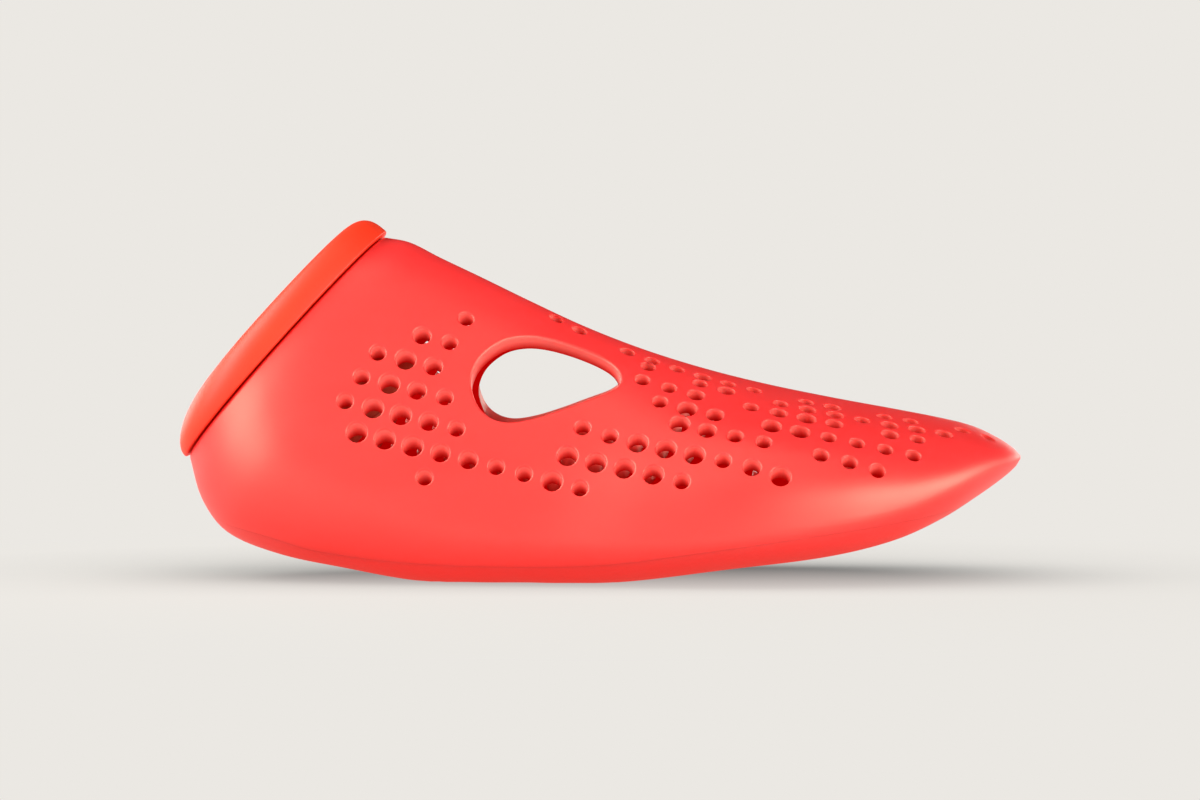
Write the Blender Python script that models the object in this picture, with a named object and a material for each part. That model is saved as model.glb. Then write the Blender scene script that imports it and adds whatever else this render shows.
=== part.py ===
"""A perforated shoe shaper with a removable heel cap, as separate pieces that fit together.

Lengths are in metres and +Z is up. The toe points along +X, the centre plane is Y = 0, and the sole
rests on Z = 0. The form is a loft through slanted rings: the first lies in the plane of the heel
opening, and the planes swing upright towards the toe. Both shells are cut from one hollow loft.
"""

from collections import namedtuple
from math import ceil, cos, pi, radians, sin, sqrt

import bmesh
import bpy
from mathutils import Matrix, Vector

# Form of the shaper, from the heel opening to the toe. Each ring runs from its point on the sole line to
# its point on the ridge line. widest is the share of that height where it is widest. gable is the slope
# of the ridge. crown and flank shape the ring above its widest point, belly and edge below it: 2 and 2
# give an ellipse, and more is fuller.
Section = namedtuple(
    "Section", "sole_x sole_z ridge_x ridge_z half_width widest gable crown flank belly edge"
)
SECTIONS = [
    Section(-0.1290, 0.0386, -0.0679, 0.1072, 0.0270, 0.42, 0.00, 2.00, 2.00, 2.0, 2.0),
    Section(-0.1250, 0.0250, -0.0598, 0.1056, 0.0300, 0.38, 0.00, 2.00, 1.90, 2.1, 2.0),
    Section(-0.1170, 0.0146, -0.0504, 0.1009, 0.0325, 0.34, 0.00, 1.95, 1.85, 2.2, 2.0),
    Section(-0.1010, 0.0079, -0.0378, 0.0949, 0.0340, 0.30, 0.01, 1.90, 1.85, 2.4, 2.0),
    Section(-0.0800, 0.0035, -0.0220, 0.0872, 0.0350, 0.27, 0.04, 1.90, 2.00, 2.6, 2.0),
    Section(-0.0550, -0.0006, -0.0050, 0.0793, 0.0365, 0.25, 0.09, 1.95, 2.20, 2.8, 2.0),
    Section(-0.0270, -0.0012, 0.0126, 0.0724, 0.0392, 0.24, 0.14, 2.05, 2.45, 2.8, 2.0),
    Section(0.0050, -0.0006, 0.0315, 0.0664, 0.0452, 0.23, 0.18, 2.20, 2.75, 2.8, 2.0),
    Section(0.0400, 0.0037, 0.0520, 0.0612, 0.0496, 0.22, 0.20, 2.35, 3.20, 2.8, 2.0),
    Section(0.0700, 0.0074, 0.0740, 0.0567, 0.0482, 0.25, 0.21, 2.45, 3.40, 2.6, 2.0),
    Section(0.0910, 0.0123, 0.0920, 0.0534, 0.0431, 0.30, 0.21, 2.50, 3.00, 2.4, 2.0),
    Section(0.1060, 0.0188, 0.1065, 0.0506, 0.0373, 0.36, 0.19, 2.45, 2.60, 2.2, 2.0),
    Section(0.1170, 0.0254, 0.1173, 0.0479, 0.0297, 0.41, 0.14, 2.30, 2.25, 2.0, 2.0),
    Section(0.1250, 0.0309, 0.1252, 0.0442, 0.0212, 0.45, 0.08, 2.10, 2.10, 2.0, 2.0),
    Section(0.1296, 0.0346, 0.1297, 0.0412, 0.0131, 0.48, 0.03, 2.00, 2.00, 2.0, 2.0),
    Section(0.1315, 0.0369, 0.1315, 0.0394, 0.0065, 0.50, 0.00, 2.00, 2.00, 2.0, 2.0),
]
RIDGE_ROUND = 0.0030
TOE_TIP = Vector((0.1321, 0.0, 0.0381))
TOE_WALL_SHARE = 1.15
INNER_SECTIONS = 12

# Moulded walls and the joint between the two shells.
WALL = 0.0050
SHELL_GAP = 0.0003
LAP_HEIGHT = 0.0030
LAP_SHARE_OF_WALL = 0.5
SEAM_STEPS = 3
SEAM_LINE = [
    (-0.1400, 0.0230),
    (-0.1210, 0.0190),
    (-0.1009, 0.0139),
    (-0.0873, 0.0100),
    (-0.0630, 0.0070),
    (-0.0310, 0.0058),
    (0.0000, 0.0068),
    (0.0315, 0.0112),
    (0.0600, 0.0155),
    (0.0884, 0.0196),
    (0.1100, 0.0236),
    (0.1210, 0.0280),
    (0.1400, 0.0330),
]

# Finger window: a teardrop, cut square to the draw of the mould on each side. Its outline is given in the
# side view, in shares of half its length and half its height.
WINDOW_CENTRE = (-0.0165, 0.0629)
WINDOW_LENGTH = 0.0454
WINDOW_HEIGHT = 0.0257
WINDOW_SHAPE = [
    (-1.000, -0.132),
    (-0.962, 0.261),
    (-0.831, 0.602),
    (-0.593, 0.890),
    (-0.315, 0.999),
    (-0.003, 0.954),
    (0.371, 0.770),
    (0.729, 0.508),
    (0.940, 0.240),
    (0.998, -0.060),
    (0.875, -0.264),
    (0.565, -0.472),
    (0.195, -0.713),
    (-0.173, -0.914),
    (-0.494, -1.000),
    (-0.731, -0.895),
    (-0.909, -0.605),
]
WINDOW_STEPS = 2
WINDOW_REACH_IN = 0.0160
DRAW_TILT = radians(43.0)

# Perforations: bores in three sizes. Each is round where it meets the skin and runs along the draw.
BORES = {"L": 0.0061, "M": 0.0054, "S": 0.0047}
BORE_SIDES = {"L": 8, "M": 6, "S": 6}
BORE_REACH_OUT = 0.0040
BORE_REACH_IN = 0.0030

# A ring point nearer than this to a place has no more say in the outward direction there.
BLEND_REACH = 0.0001

# Rows on the forefoot run from a start to an end station, at distances down the skin from the ridge that
# are given at the start, halfway and at the end. A letter is a perforation, and a point is a gap.
ForefootRow = namedtuple("ForefootRow", "start_x end_x start_down middle_down end_down pattern")
FOREFOOT_ROWS = [
    ForefootRow(-0.0137, 0.1203, 0.0064, 0.0144, 0.0135, "SS.SSSMSS.SM.SS.SS"),
    ForefootRow(0.0148, 0.1056, 0.0159, 0.0219, 0.0214, "S.SM.SMMSMMM"),
    ForefootRow(0.0129, 0.0966, 0.0239, 0.0290, 0.0294, "SSM.SMLM.MS"),
    ForefootRow(0.0181, 0.0943, 0.0326, 0.0379, 0.0389, "SLM.LLSSSS"),
    ForefootRow(0.0239, 0.0827, 0.0408, 0.0460, 0.0486, "LMSS.SSS"),
    ForefootRow(-0.0054, 0.0535, 0.0472, 0.0510, 0.0569, "SSLLLSML"),
    ForefootRow(-0.0099, 0.0243, 0.0576, 0.0579, 0.0604, "LLLLS"),
]

# Rows on the heel lie on a slanted grid, given in the side view from its first hole.
HeelRow = namedtuple("HeelRow", "row first pattern")
HEEL_GRID_START = (-0.0736, 0.0468)
HEEL_STEP_ALONG = (0.00844, -0.00208)
HEEL_STEP_UP = (0.00477, 0.00732)
HEEL_ROWS = [
    HeelRow(-1, 3, "S"),
    HeelRow(0, 0, "LLLMMSSLS"),
    HeelRow(1, -1, "SLLMS"),
    HeelRow(2, -1, "SLMS"),
    HeelRow(3, -1, "SLM"),
    HeelRow(4, 0, "MS"),
    HeelRow(5, 1, "S"),
]

# Heel cap: a dome over the opening, with a plug skirt that locates it.
CAP_SEAT_GAP = 0.0005
CAP_LOW_OVERHANG = 0.0011
CAP_TOP_OVERHANG = 0.0018
CAP_SIDE_OVERHANG = 0.0014
CAP_LOW_HEIGHT = 0.0100
CAP_TOP_HEIGHT = 0.0101
CAP_WALL = 0.0024
CAP_SHOULDER_SHARE = 0.5
CAP_LOW_INSET = 0.0200
CAP_TOP_INSET = 0.0105
CAP_SIDE_INSET = 0.0085
CAP_LOW_FULLNESS = 1.80
CAP_TOP_FULLNESS = 2.80
CAP_SIDE_FULLNESS = 3.00
CAP_EDGE_RADIUS = 0.0006
SKIRT_CLEARANCE = 0.0003
SKIRT_WALL = 0.0018
SKIRT_DEPTH = 0.0060

# Cedar block in its socket on the inside of the cap.
BLOCK_LENGTH = 0.0440
BLOCK_WIDTH = 0.0220
BLOCK_DEPTH = 0.0440
BLOCK_CHAMFER = 0.0015
BLOCK_CLEARANCE = 0.0003
SOCKET_WALL = 0.0016
SOCKET_ROOT_SHARE = 0.5
SOCKET_DEPTH = 0.0120

# How far a cutter stands clear of what it cuts, and the mark of the axis along which the cap pulls off.
CUTTER_MARGIN = 0.0300
AXIS_MARK = 0.0200

# Fineness of the rings.
HALF_RING_STEPS = 15
LONGEST_RING_STEP = 0.0100
ROW_SAMPLES = 24
OUTLINE_SAMPLES = 40
DOME_STEPS = 5

PLASTIC_RED = (0.94, 0.040, 0.034, 1.0)
PLASTIC_ORANGE = (0.94, 0.060, 0.018, 1.0)
CEDAR = (0.50, 0.27, 0.13, 1.0)
ACROSS = Vector((0.0, 1.0, 0.0))


def clear_scene():
    """Removes every object, so that the script can run again."""
    for old in list(bpy.data.objects):
        bpy.data.objects.remove(old, do_unlink=True)


def new_collection(name):
    """A collection linked to the scene."""
    collection = bpy.data.collections.new(name)
    bpy.context.scene.collection.children.link(collection)
    return collection


def plastic(name, colour, roughness):
    """A plain coloured material."""
    material = bpy.data.materials.new(name)
    material.use_nodes = True
    shader = material.node_tree.nodes["Principled BSDF"]
    shader.inputs["Base Color"].default_value = colour
    shader.inputs["Roughness"].default_value = roughness
    shader.inputs["Metallic"].default_value = 0.0
    return material


def add_object(name, mesh, collection, material=None):
    """An object with this mesh in this collection."""
    obj = bpy.data.objects.new(name, mesh)
    collection.objects.link(obj)
    if material:
        mesh.materials.append(material)
    return obj


def add_cutter(name, mesh, cutters):
    """A cutter, shown as wires and kept out of renders."""
    obj = add_object(name, mesh, cutters)
    obj.display_type = "WIRE"
    obj.hide_render = True
    return obj


def boolean(obj, cutter, operation="DIFFERENCE"):
    """Adds a Boolean to an object."""
    modifier = obj.modifiers.new(f"{operation.lower()} {cutter.name}", "BOOLEAN")
    modifier.operation = operation
    modifier.solver = "EXACT"
    modifier.object = cutter


# Rings of the form
def ring_frame(section):
    """The ring's sole point, its unit direction up to the ridge line, and its height."""
    sole = Vector((section.sole_x, 0.0, section.sole_z))
    rise = Vector((section.ridge_x, 0.0, section.ridge_z)) - sole
    return sole, rise.normalized(), rise.length


def quarter(height, half_width, across_power, up_power, gable=0.0):
    """Points of a quarter outline, from its end on the centre plane to its widest point."""

    def roof(across):
        return gable * (sqrt(across**2 + RIDGE_ROUND**2) - RIDGE_ROUND)

    eaves = roof(half_width)
    points = []
    for step in range(OUTLINE_SAMPLES + 1):
        turn = 0.5 * pi * step / OUTLINE_SAMPLES
        across = half_width * sin(turn) ** (2.0 / across_power)
        up = (height - eaves) * max(cos(turn), 0.0) ** (2.0 / up_power)
        points.append(Vector((across, up + eaves - roof(across))))
    return points


def resample(points, steps):
    """Points at equal steps along a line of points."""
    lengths = [0.0]
    for before, after in zip(points, points[1:]):
        lengths.append(lengths[-1] + (after - before).length)
    result = []
    index = 0
    for step in range(steps + 1):
        wanted = lengths[-1] * step / steps
        while index < len(points) - 2 and lengths[index + 1] < wanted:
            index += 1
        span = max(lengths[index + 1] - lengths[index], 1e-12)
        result.append(points[index].lerp(points[index + 1], (wanted - lengths[index]) / span))
    return result


def section_ring(section, steps=HALF_RING_STEPS):
    """The ring of a section, from the ridge down the -Y side and up the +Y side."""
    sole, up, height = ring_frame(section)
    level = section.widest * height
    upper = quarter(
        height - level, section.half_width, section.crown, section.flank, section.gable
    )
    lower = quarter(level, section.half_width, section.belly, section.edge)
    half = [Vector((point.x, level + point.y)) for point in upper]
    half += [Vector((point.x, level - point.y)) for point in reversed(lower[:-1])]
    half = resample(half, steps)
    near = [sole + up * point.y - ACROSS * point.x for point in half]
    far = [sole + up * point.y + ACROSS * point.x for point in reversed(half[1:-1])]
    return [Vector((point.x, point.y, max(point.z, 0.0))) for point in near + far]


def ring_centre(section):
    """The middle of a ring's height."""
    sole, up, height = ring_frame(section)
    return sole + up * (0.5 * height)


def blended_sections(longest_step):
    """The sections with smooth ones between them, no further apart than the longest step."""
    stations = [0.0]
    for before, after in zip(SECTIONS, SECTIONS[1:]):
        stations.append(stations[-1] + (ring_centre(after) - ring_centre(before)).length)

    def slope(index, field):
        left = max(index - 1, 0)
        right = min(index + 1, len(SECTIONS) - 1)
        rise = SECTIONS[right][field] - SECTIONS[left][field]
        return rise / (stations[right] - stations[left])

    result = []
    for index, (before, after) in enumerate(zip(SECTIONS, SECTIONS[1:])):
        span = stations[index + 1] - stations[index]
        steps = max(ceil(span / longest_step), 1)
        for step in range(steps):
            t = step / steps
            values = []
            for field in range(len(before)):
                start = before[field] * (1.0 + 2.0 * t) * (1.0 - t) ** 2
                end = after[field] * (3.0 - 2.0 * t) * t**2
                leave = slope(index, field) * span * t * (1.0 - t) ** 2
                arrive = slope(index + 1, field) * span * (t - 1.0) * t**2
                values.append(start + end + leave + arrive)
            result.append(Section(*values))
    return result + [SECTIONS[-1]]


def ring_normals(rings):
    """The outward direction at each point of the rings, by its neighbours."""
    count = len(rings[0])
    normals = []
    for index, ring in enumerate(rings):
        behind = rings[max(index - 1, 0)]
        ahead = rings[min(index + 1, len(rings) - 1)]
        row = []
        for point in range(count):
            along = ahead[point] - behind[point]
            around = ring[(point + 1) % count] - ring[point - 1]
            row.append(around.cross(along).normalized())
        normals.append(row)
    return normals


def inset_rings(sections, rings, normals, depth):
    """Rings inside the form, in the same planes, this depth under the skin."""
    result = []
    for section, ring, row in zip(sections, rings, normals):
        if section.sole_x > SECTIONS[INNER_SECTIONS].sole_x:
            break
        plane = ring_frame(section)[1].cross(ACROSS)
        inner = []
        for point, normal in zip(ring, row):
            flat = normal - plane * normal.dot(plane)
            inner.append(point - flat.normalized() * (depth / flat.length))
        result.append(inner)
    return result


# Meshes from rings
def loft(rings, first_end, last_end):
    """A skin of triangles through rings of equal count, with an end point at either end.

    The triangles slant the same way on nested skins, mirrored about the centre plane, so that one skin
    stays inside the other.
    """
    mesh = bmesh.new()
    rows = [[mesh.verts.new(point) for point in ring] for ring in rings]
    count = len(rings[0])
    for before, after in zip(rows, rows[1:]):
        for index in range(count):
            following = (index + 1) % count
            if index < count // 2:
                mesh.faces.new((before[index], before[following], after[following]))
                mesh.faces.new((before[index], after[following], after[index]))
            else:
                mesh.faces.new((before[index], before[following], after[index]))
                mesh.faces.new((before[following], after[following], after[index]))
    for end, row in ((first_end, rows[0]), (last_end, rows[-1])):
        tip = mesh.verts.new(end)
        for index in range(count):
            mesh.faces.new((row[index], row[(index + 1) % count], tip))
    bmesh.ops.recalc_face_normals(mesh, faces=mesh.faces)
    data = bpy.data.meshes.new("loft")
    mesh.to_mesh(data)
    mesh.free()
    return data


def smooth(mesh, sharpest=radians(35.0)):
    """Shades a mesh smooth except at its edges."""
    mesh.shade_smooth()
    mesh.set_sharp_from_angle(angle=sharpest)


def toe_end(depth):
    """The toe's tip, moved inside by a wall of this depth."""
    return TOE_TIP - Vector((TOE_WALL_SHARE * depth, 0.0, 0.0))


def ring_middle(ring):
    """The mean of a ring's points."""
    return sum(ring, Vector()) / len(ring)


def shell_mesh(form):
    """The hollow form: outer skin, flat rim round the heel opening, inner skin."""
    sections, rings, normals = form
    inner = inset_rings(sections, rings, normals, WALL)
    return loft(list(reversed(rings)) + inner, TOE_TIP, toe_end(WALL))


def core_mesh(form, depth):
    """A solid that fills the form from this depth under its skin."""
    sections, rings, normals = form
    inner = inset_rings(sections, rings, normals, depth)
    return loft(inner, ring_middle(inner[0]), toe_end(depth))


# Cutters
def extruded_outline(name, outline, half_thickness, placement, cutters):
    """A closed flat outline, extruded both ways and turned into a mesh."""
    curve = bpy.data.curves.new(name, "CURVE")
    curve.dimensions = "2D"
    curve.fill_mode = "BOTH"
    curve.extrude = half_thickness
    spline = curve.splines.new("POLY")
    spline.points.add(len(outline) - 1)
    spline.use_cyclic_u = True
    for point, (x, y) in zip(spline.points, outline):
        point.co = (x, y, 0.0, 1.0)
    source = add_object(name, curve, cutters)
    graph = bpy.context.evaluated_depsgraph_get()
    data = bpy.data.meshes.new_from_object(source.evaluated_get(graph))
    bpy.data.objects.remove(source)
    mesh = bmesh.new()
    mesh.from_mesh(data)
    bmesh.ops.remove_doubles(mesh, verts=mesh.verts, dist=1e-6)
    bmesh.ops.recalc_face_normals(mesh, faces=mesh.faces)
    mesh.to_mesh(data)
    mesh.free()
    cutter = add_cutter(name, data, cutters)
    cutter.matrix_world = placement
    return cutter


def seam_block(name, cutters, height, above):
    """A block on one side of the seam line, which is raised by height."""
    top = max(section.ridge_z for section in SECTIONS) + CUTTER_MARGIN
    half_width = max(section.half_width for section in SECTIONS) + CUTTER_MARGIN
    far_z = top if above else -CUTTER_MARGIN
    outline = [(x, z + height) for x, z in smooth_line(SEAM_LINE, SEAM_STEPS)]
    outline += [(SEAM_LINE[-1][0], far_z), (SEAM_LINE[0][0], far_z)]
    side_view = Matrix.Rotation(0.5 * pi, 4, "X")
    return extruded_outline(name, outline, half_width, side_view, cutters)


def smooth_line(points, steps, closed=False):
    """A smooth line through points of the side view, back to the first if it is closed."""
    count = len(points)
    spans = range(count) if closed else range(count - 1)
    result = []
    for index in spans:
        places = [index - 1, index, index + 1, index + 2]
        if closed:
            places = [place % count for place in places]
        else:
            places = [min(max(place, 0), count - 1) for place in places]
        p0, p1, p2, p3 = [Vector(points[place]) for place in places]
        for step in range(steps):
            t = step / steps
            bend = (2.0 * p0 - 5.0 * p1 + 4.0 * p2 - p3) * t + (3.0 * (p1 - p2) + p3 - p0) * t**2
            result.append(p1 + 0.5 * t * (p2 - p0 + bend))
    if not closed:
        result.append(Vector(points[-1]))
    return [(point.x, point.y) for point in result]


def draw_direction(side):
    """The direction in which the mould's cores leave this side, -1 or +1."""
    return Vector((0.0, side * cos(DRAW_TILT), sin(DRAW_TILT)))


def window_cutter(skin, side, cutters):
    """One window as a prism along the draw, from outside the skin to inside the wall."""
    centre_x, centre_z = WINDOW_CENTRE
    draw = draw_direction(side)
    along = Vector((1.0, 0.0, 0.0))
    up = draw.cross(along) if side < 0 else along.cross(draw)
    middle = skin_point(skin, centre_x, centre_z, side)
    outline = []
    for share_along, share_up in smooth_line(WINDOW_SHAPE, WINDOW_STEPS, closed=True):
        x = centre_x + 0.5 * WINDOW_LENGTH * share_along
        z = centre_z + 0.5 * WINDOW_HEIGHT * share_up
        offset = skin_point(skin, x, z, side) - middle
        outline.append((offset.dot(along), offset.dot(up)))
    half_depth = 0.5 * (CUTTER_MARGIN + WINDOW_REACH_IN)
    start = middle + draw * (half_depth - WINDOW_REACH_IN)
    frame = Matrix((along, up, along.cross(up))).transposed().to_4x4()
    name = "near_window" if side < 0 else "far_window"
    return extruded_outline(name, outline, half_depth, Matrix.Translation(start) @ frame, cutters)


# Places of the perforations
def crossing(rings, index, x):
    """Where the skin's line through this place of every ring crosses a station x."""
    for before, after in zip(rings, rings[1:]):
        start = before[index]
        end = after[index]
        if start.x <= x < end.x:
            return start.lerp(end, (x - start.x) / (end.x - start.x))
    return None


def near_section(rings, x):
    """The skin at station x as points from the ridge down the -Y side."""
    points = [crossing(rings, index, x) for index in range(len(rings[0]) // 2 + 1)]
    return [point for point in points if point]


def point_down_the_skin(rings, x, distance):
    """The point at station x this far down the skin from the ridge, on the -Y side."""
    points = near_section(rings, x)
    for before, after in zip(points, points[1:]):
        step = (after - before).length
        if distance <= step:
            return before.lerp(after, distance / step)
        distance -= step
    return points[-1]


def skin_point(rings, x, z, side):
    """The point of one side of the skin at this place of the side view."""
    points = near_section(rings, x)
    for before, after in zip(points, points[1:]):
        if after.z <= z <= before.z:
            point = before.lerp(after, (before.z - z) / (before.z - after.z))
            return Vector((x, -side * point.y, z))
    return Vector((x, -side * points[0].y, z))


def forefoot_places(rings, row):
    """Evenly spaced points along a row of the forefoot."""
    line = []
    for step in range(ROW_SAMPLES + 1):
        t = step / ROW_SAMPLES
        x = row.start_x + t * (row.end_x - row.start_x)
        bow = 4.0 * t * (1.0 - t)
        straight = row.start_down + t * (row.end_down - row.start_down)
        rise = row.middle_down - 0.5 * (row.start_down + row.end_down)
        line.append(point_down_the_skin(rings, x, straight + bow * rise))
    return resample(line, len(row.pattern) - 1)


def perforations(rings):
    """Every perforation of the -Y side, as its size letter and its point on the skin."""
    places = []
    for row in FOREFOOT_ROWS:
        for size, point in zip(row.pattern, forefoot_places(rings, row)):
            if size != ".":
                places.append((size, point))
    for row in HEEL_ROWS:
        for index, size in enumerate(row.pattern, row.first):
            x = HEEL_GRID_START[0] + index * HEEL_STEP_ALONG[0] + row.row * HEEL_STEP_UP[0]
            z = HEEL_GRID_START[1] + index * HEEL_STEP_ALONG[1] + row.row * HEEL_STEP_UP[1]
            places.append((size, skin_point(rings, x, z, -1.0)))
    return places


def skin_lift(rings, normals, place):
    """The outward direction at a place on the skin, blended from the ring points round it."""
    lift = Vector()
    for ring, row in zip(rings, normals):
        for point, normal in zip(ring, row):
            lift += normal / max((point - place).length, BLEND_REACH) ** 4
    return lift.normalized()


def bore_rings(size, point, lift, draw):
    """A bore's ring outside the skin and its ring inside the wall."""
    along = Vector((1.0, 0.0, 0.0))
    along = (along - lift * along.dot(lift)).normalized()
    aside = along.cross(lift)
    outside = draw * BORE_REACH_OUT
    inside = -draw * (WALL / draw.dot(lift) + BORE_REACH_IN)
    spokes = []
    for step in range(BORE_SIDES[size]):
        turn = 2.0 * pi * (step + 0.5) / BORE_SIDES[size]
        spokes.append(0.5 * BORES[size] * (along * cos(turn) + aside * sin(turn)))
    return [[point + reach + spoke for spoke in spokes] for reach in (outside, inside)]


def perforation_cutter(form, side, cutters):
    """All perforations of one side as one cutter of separate prisms."""
    rings, normals = form[1:]
    mirror = Vector((1.0, -side, 1.0))
    draw = draw_direction(side)
    mesh = bmesh.new()
    for size, place in perforations(rings):
        point = place * mirror
        lift = skin_lift(rings, normals, place) * mirror
        rows = [[mesh.verts.new(co) for co in ring] for ring in bore_rings(size, point, lift, draw)]
        for row in rows:
            mesh.faces.new(row)
        for index in range(-1, BORE_SIDES[size] - 1):
            mesh.faces.new((rows[0][index], rows[0][index + 1], rows[1][index + 1], rows[1][index]))
    bmesh.ops.recalc_face_normals(mesh, faces=mesh.faces)
    name = "near_perforations" if side < 0 else "far_perforations"
    data = bpy.data.meshes.new(name)
    mesh.to_mesh(data)
    mesh.free()
    return add_cutter(name, data, cutters)


# Pieces
def add_shells(form, parts, cutters, material):
    """The upper shell and the sole shell, which overlap in a stepped lap inside the seam."""
    rings = form[1]
    half_gap = 0.5 * SHELL_GAP
    lap_depth = LAP_SHARE_OF_WALL * WALL
    whole = shell_mesh(form)
    upper = add_object("upper_shell", whole, parts, material)
    boolean(upper, seam_block("below_seam", cutters, half_gap, above=False))
    step_core = add_cutter("upper_step", core_mesh(form, lap_depth - half_gap), cutters)
    boolean(step_core, seam_block("below_lap", cutters, LAP_HEIGHT, above=False), "INTERSECT")
    boolean(upper, step_core)
    for side in (-1.0, 1.0):
        boolean(upper, window_cutter(rings, side, cutters))
        boolean(upper, perforation_cutter(form, side, cutters))

    sole = add_object("sole_shell", whole.copy(), parts, material)
    lap_top = LAP_HEIGHT - SHELL_GAP
    boolean(sole, seam_block("above_lap", cutters, lap_top, above=True))
    trim = seam_block("above_seam", cutters, -half_gap, above=True)
    boolean(trim, add_cutter("lap_core", core_mesh(form, lap_depth + half_gap), cutters))
    boolean(sole, trim)
    for shell in (upper, sole):
        smooth(shell.data)
    return upper, sole


def grown(section, low, top, side):
    """A section made longer and wider in its own plane; negative values make it smaller."""
    sole, up, height = ring_frame(section)
    low_end = sole - up * low
    top_end = sole + up * (height + top)
    return section._replace(
        sole_x=low_end.x,
        sole_z=low_end.z,
        ridge_x=top_end.x,
        ridge_z=top_end.z,
        half_width=section.half_width + side,
    )


def cap_directions():
    """The unit direction up the opening's plane, and the direction in which the cap pulls out of it."""
    up = ring_frame(SECTIONS[0])[1]
    return up, up.cross(ACROSS)


def cap_base():
    """The ring of the cap's edge, in the opening's plane."""
    return section_ring(
        grown(SECTIONS[0], CAP_LOW_OVERHANG, CAP_TOP_OVERHANG, CAP_SIDE_OVERHANG)
    )


def cap_top():
    """The ring round the cap's flat top, before it is raised off the opening's plane."""
    return section_ring(
        grown(
            SECTIONS[0],
            CAP_LOW_OVERHANG - CAP_LOW_INSET,
            CAP_TOP_OVERHANG - CAP_TOP_INSET,
            CAP_SIDE_OVERHANG - CAP_SIDE_INSET,
        )
    )


def cap_height(base, point):
    """The cap's height over a point of the opening's plane: more at its low end than at its top."""
    top_end, low_end = base[0], base[HALF_RING_STEPS]
    rise = top_end - low_end
    share = (point - low_end).dot(rise) / rise.length_squared
    return CAP_LOW_HEIGHT + (CAP_TOP_HEIGHT - CAP_LOW_HEIGHT) * share


def dome_ring(base, top, turn):
    """The dome's ring at this turn, from 0 at its edge to a quarter turn at its flat top."""
    out = cap_directions()[1]
    ring = []
    for index, (edge, end) in enumerate(zip(base, top)):
        side = cos(pi * index / HALF_RING_STEPS)
        fullest = CAP_TOP_FULLNESS if side > 0.0 else CAP_LOW_FULLNESS
        power = CAP_SIDE_FULLNESS + (fullest - CAP_SIDE_FULLNESS) * side**2
        place = edge.lerp(end, 1.0 - max(cos(turn), 0.0) ** (2.0 / power))
        rise = (cap_height(base, place) - CAP_EDGE_RADIUS) * sin(turn) ** (2.0 / power)
        ring.append(place + out * (CAP_SEAT_GAP + CAP_EDGE_RADIUS + rise))
    return ring


def move(ring, offset):
    """A ring moved by an offset."""
    return [point + offset for point in ring]


def inward(ring, distance):
    """A flat ring moved inward in its plane."""
    plane = cap_directions()[1]
    count = len(ring)
    result = []
    for index, point in enumerate(ring):
        around = (ring[(index + 1) % count] - ring[index - 1]).normalized()
        normal = around.cross(plane)
        if normal.dot(ring_middle(ring) - point) < 0.0:
            normal.negate()
        result.append(point + normal * distance)
    return result


def add_heel_cap(form, parts, cutters, material):
    """The domed cap with its plug skirt and the socket for the block."""
    sections, rings, normals = form
    up, out = cap_directions()
    base = cap_base()
    top = cap_top()
    opening = inset_rings(sections[:2], rings, normals, WALL)[0]
    skirt = inward(opening, SKIRT_CLEARANCE)
    skirt_inside = inward(skirt, SKIRT_WALL)
    seat = out * CAP_SEAT_GAP
    cavity = CAP_TOP_HEIGHT - CAP_WALL

    outer = [
        dome_ring(base, top, 0.5 * pi * step / DOME_STEPS) for step in range(DOME_STEPS, -1, -1)
    ]
    profile = outer + [
        move(inward(base, CAP_EDGE_RADIUS), seat),
        move(skirt, seat),
        move(skirt, -out * SKIRT_DEPTH),
        move(skirt_inside, -out * SKIRT_DEPTH),
        move(skirt_inside, seat + out * (CAP_SHOULDER_SHARE * cavity)),
        move(inward(top, CAP_WALL), seat + out * cavity),
    ]
    top_middle = ring_middle(top)
    cap_mesh = loft(
        profile,
        top_middle + seat + out * cap_height(base, top_middle),
        top_middle + seat + out * cavity,
    )
    cap = add_object("heel_cap", cap_mesh, parts, material)
    socket = add_socket(top_middle + seat, up, out, cutters)
    boolean(cap, socket, "UNION")
    smooth(cap.data)
    return cap


def box(name, centre, axes, sizes, chamfer=0.0):
    """A box with its sizes along three axes."""
    mesh = bmesh.new()
    bmesh.ops.create_cube(mesh, size=1.0)
    for vert in mesh.verts:
        offset = sum((axis * size * co for axis, size, co in zip(axes, sizes, vert.co)), Vector())
        vert.co = centre + offset
    bmesh.ops.recalc_face_normals(mesh, faces=mesh.faces)
    if chamfer:
        bmesh.ops.bevel(mesh, geom=mesh.edges[:], offset=chamfer, segments=1, affect="EDGES")
    data = bpy.data.meshes.new(name)
    mesh.to_mesh(data)
    mesh.free()
    return data


def add_socket(base, up, out, cutters):
    """Four walls round the block, rooted in the cap's inner face."""
    axes = (up, ACROSS, out)
    cavity = CAP_TOP_HEIGHT - CAP_WALL
    root = cavity + SOCKET_ROOT_SHARE * CAP_WALL
    tip = cavity - SOCKET_DEPTH
    inner_length = BLOCK_LENGTH + 2.0 * BLOCK_CLEARANCE
    inner_width = BLOCK_WIDTH + 2.0 * BLOCK_CLEARANCE
    centre = base + out * (0.5 * (root + tip))
    outer_sizes = (inner_length + 2.0 * SOCKET_WALL, inner_width + 2.0 * SOCKET_WALL, root - tip)
    inner_sizes = (inner_length, inner_width, 2.0 * (root - tip))
    socket = add_cutter("socket", box("socket", centre, axes, outer_sizes), cutters)
    hollow = add_cutter("socket_hollow", box("socket_hollow", centre, axes, inner_sizes), cutters)
    boolean(socket, hollow)
    return socket


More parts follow.
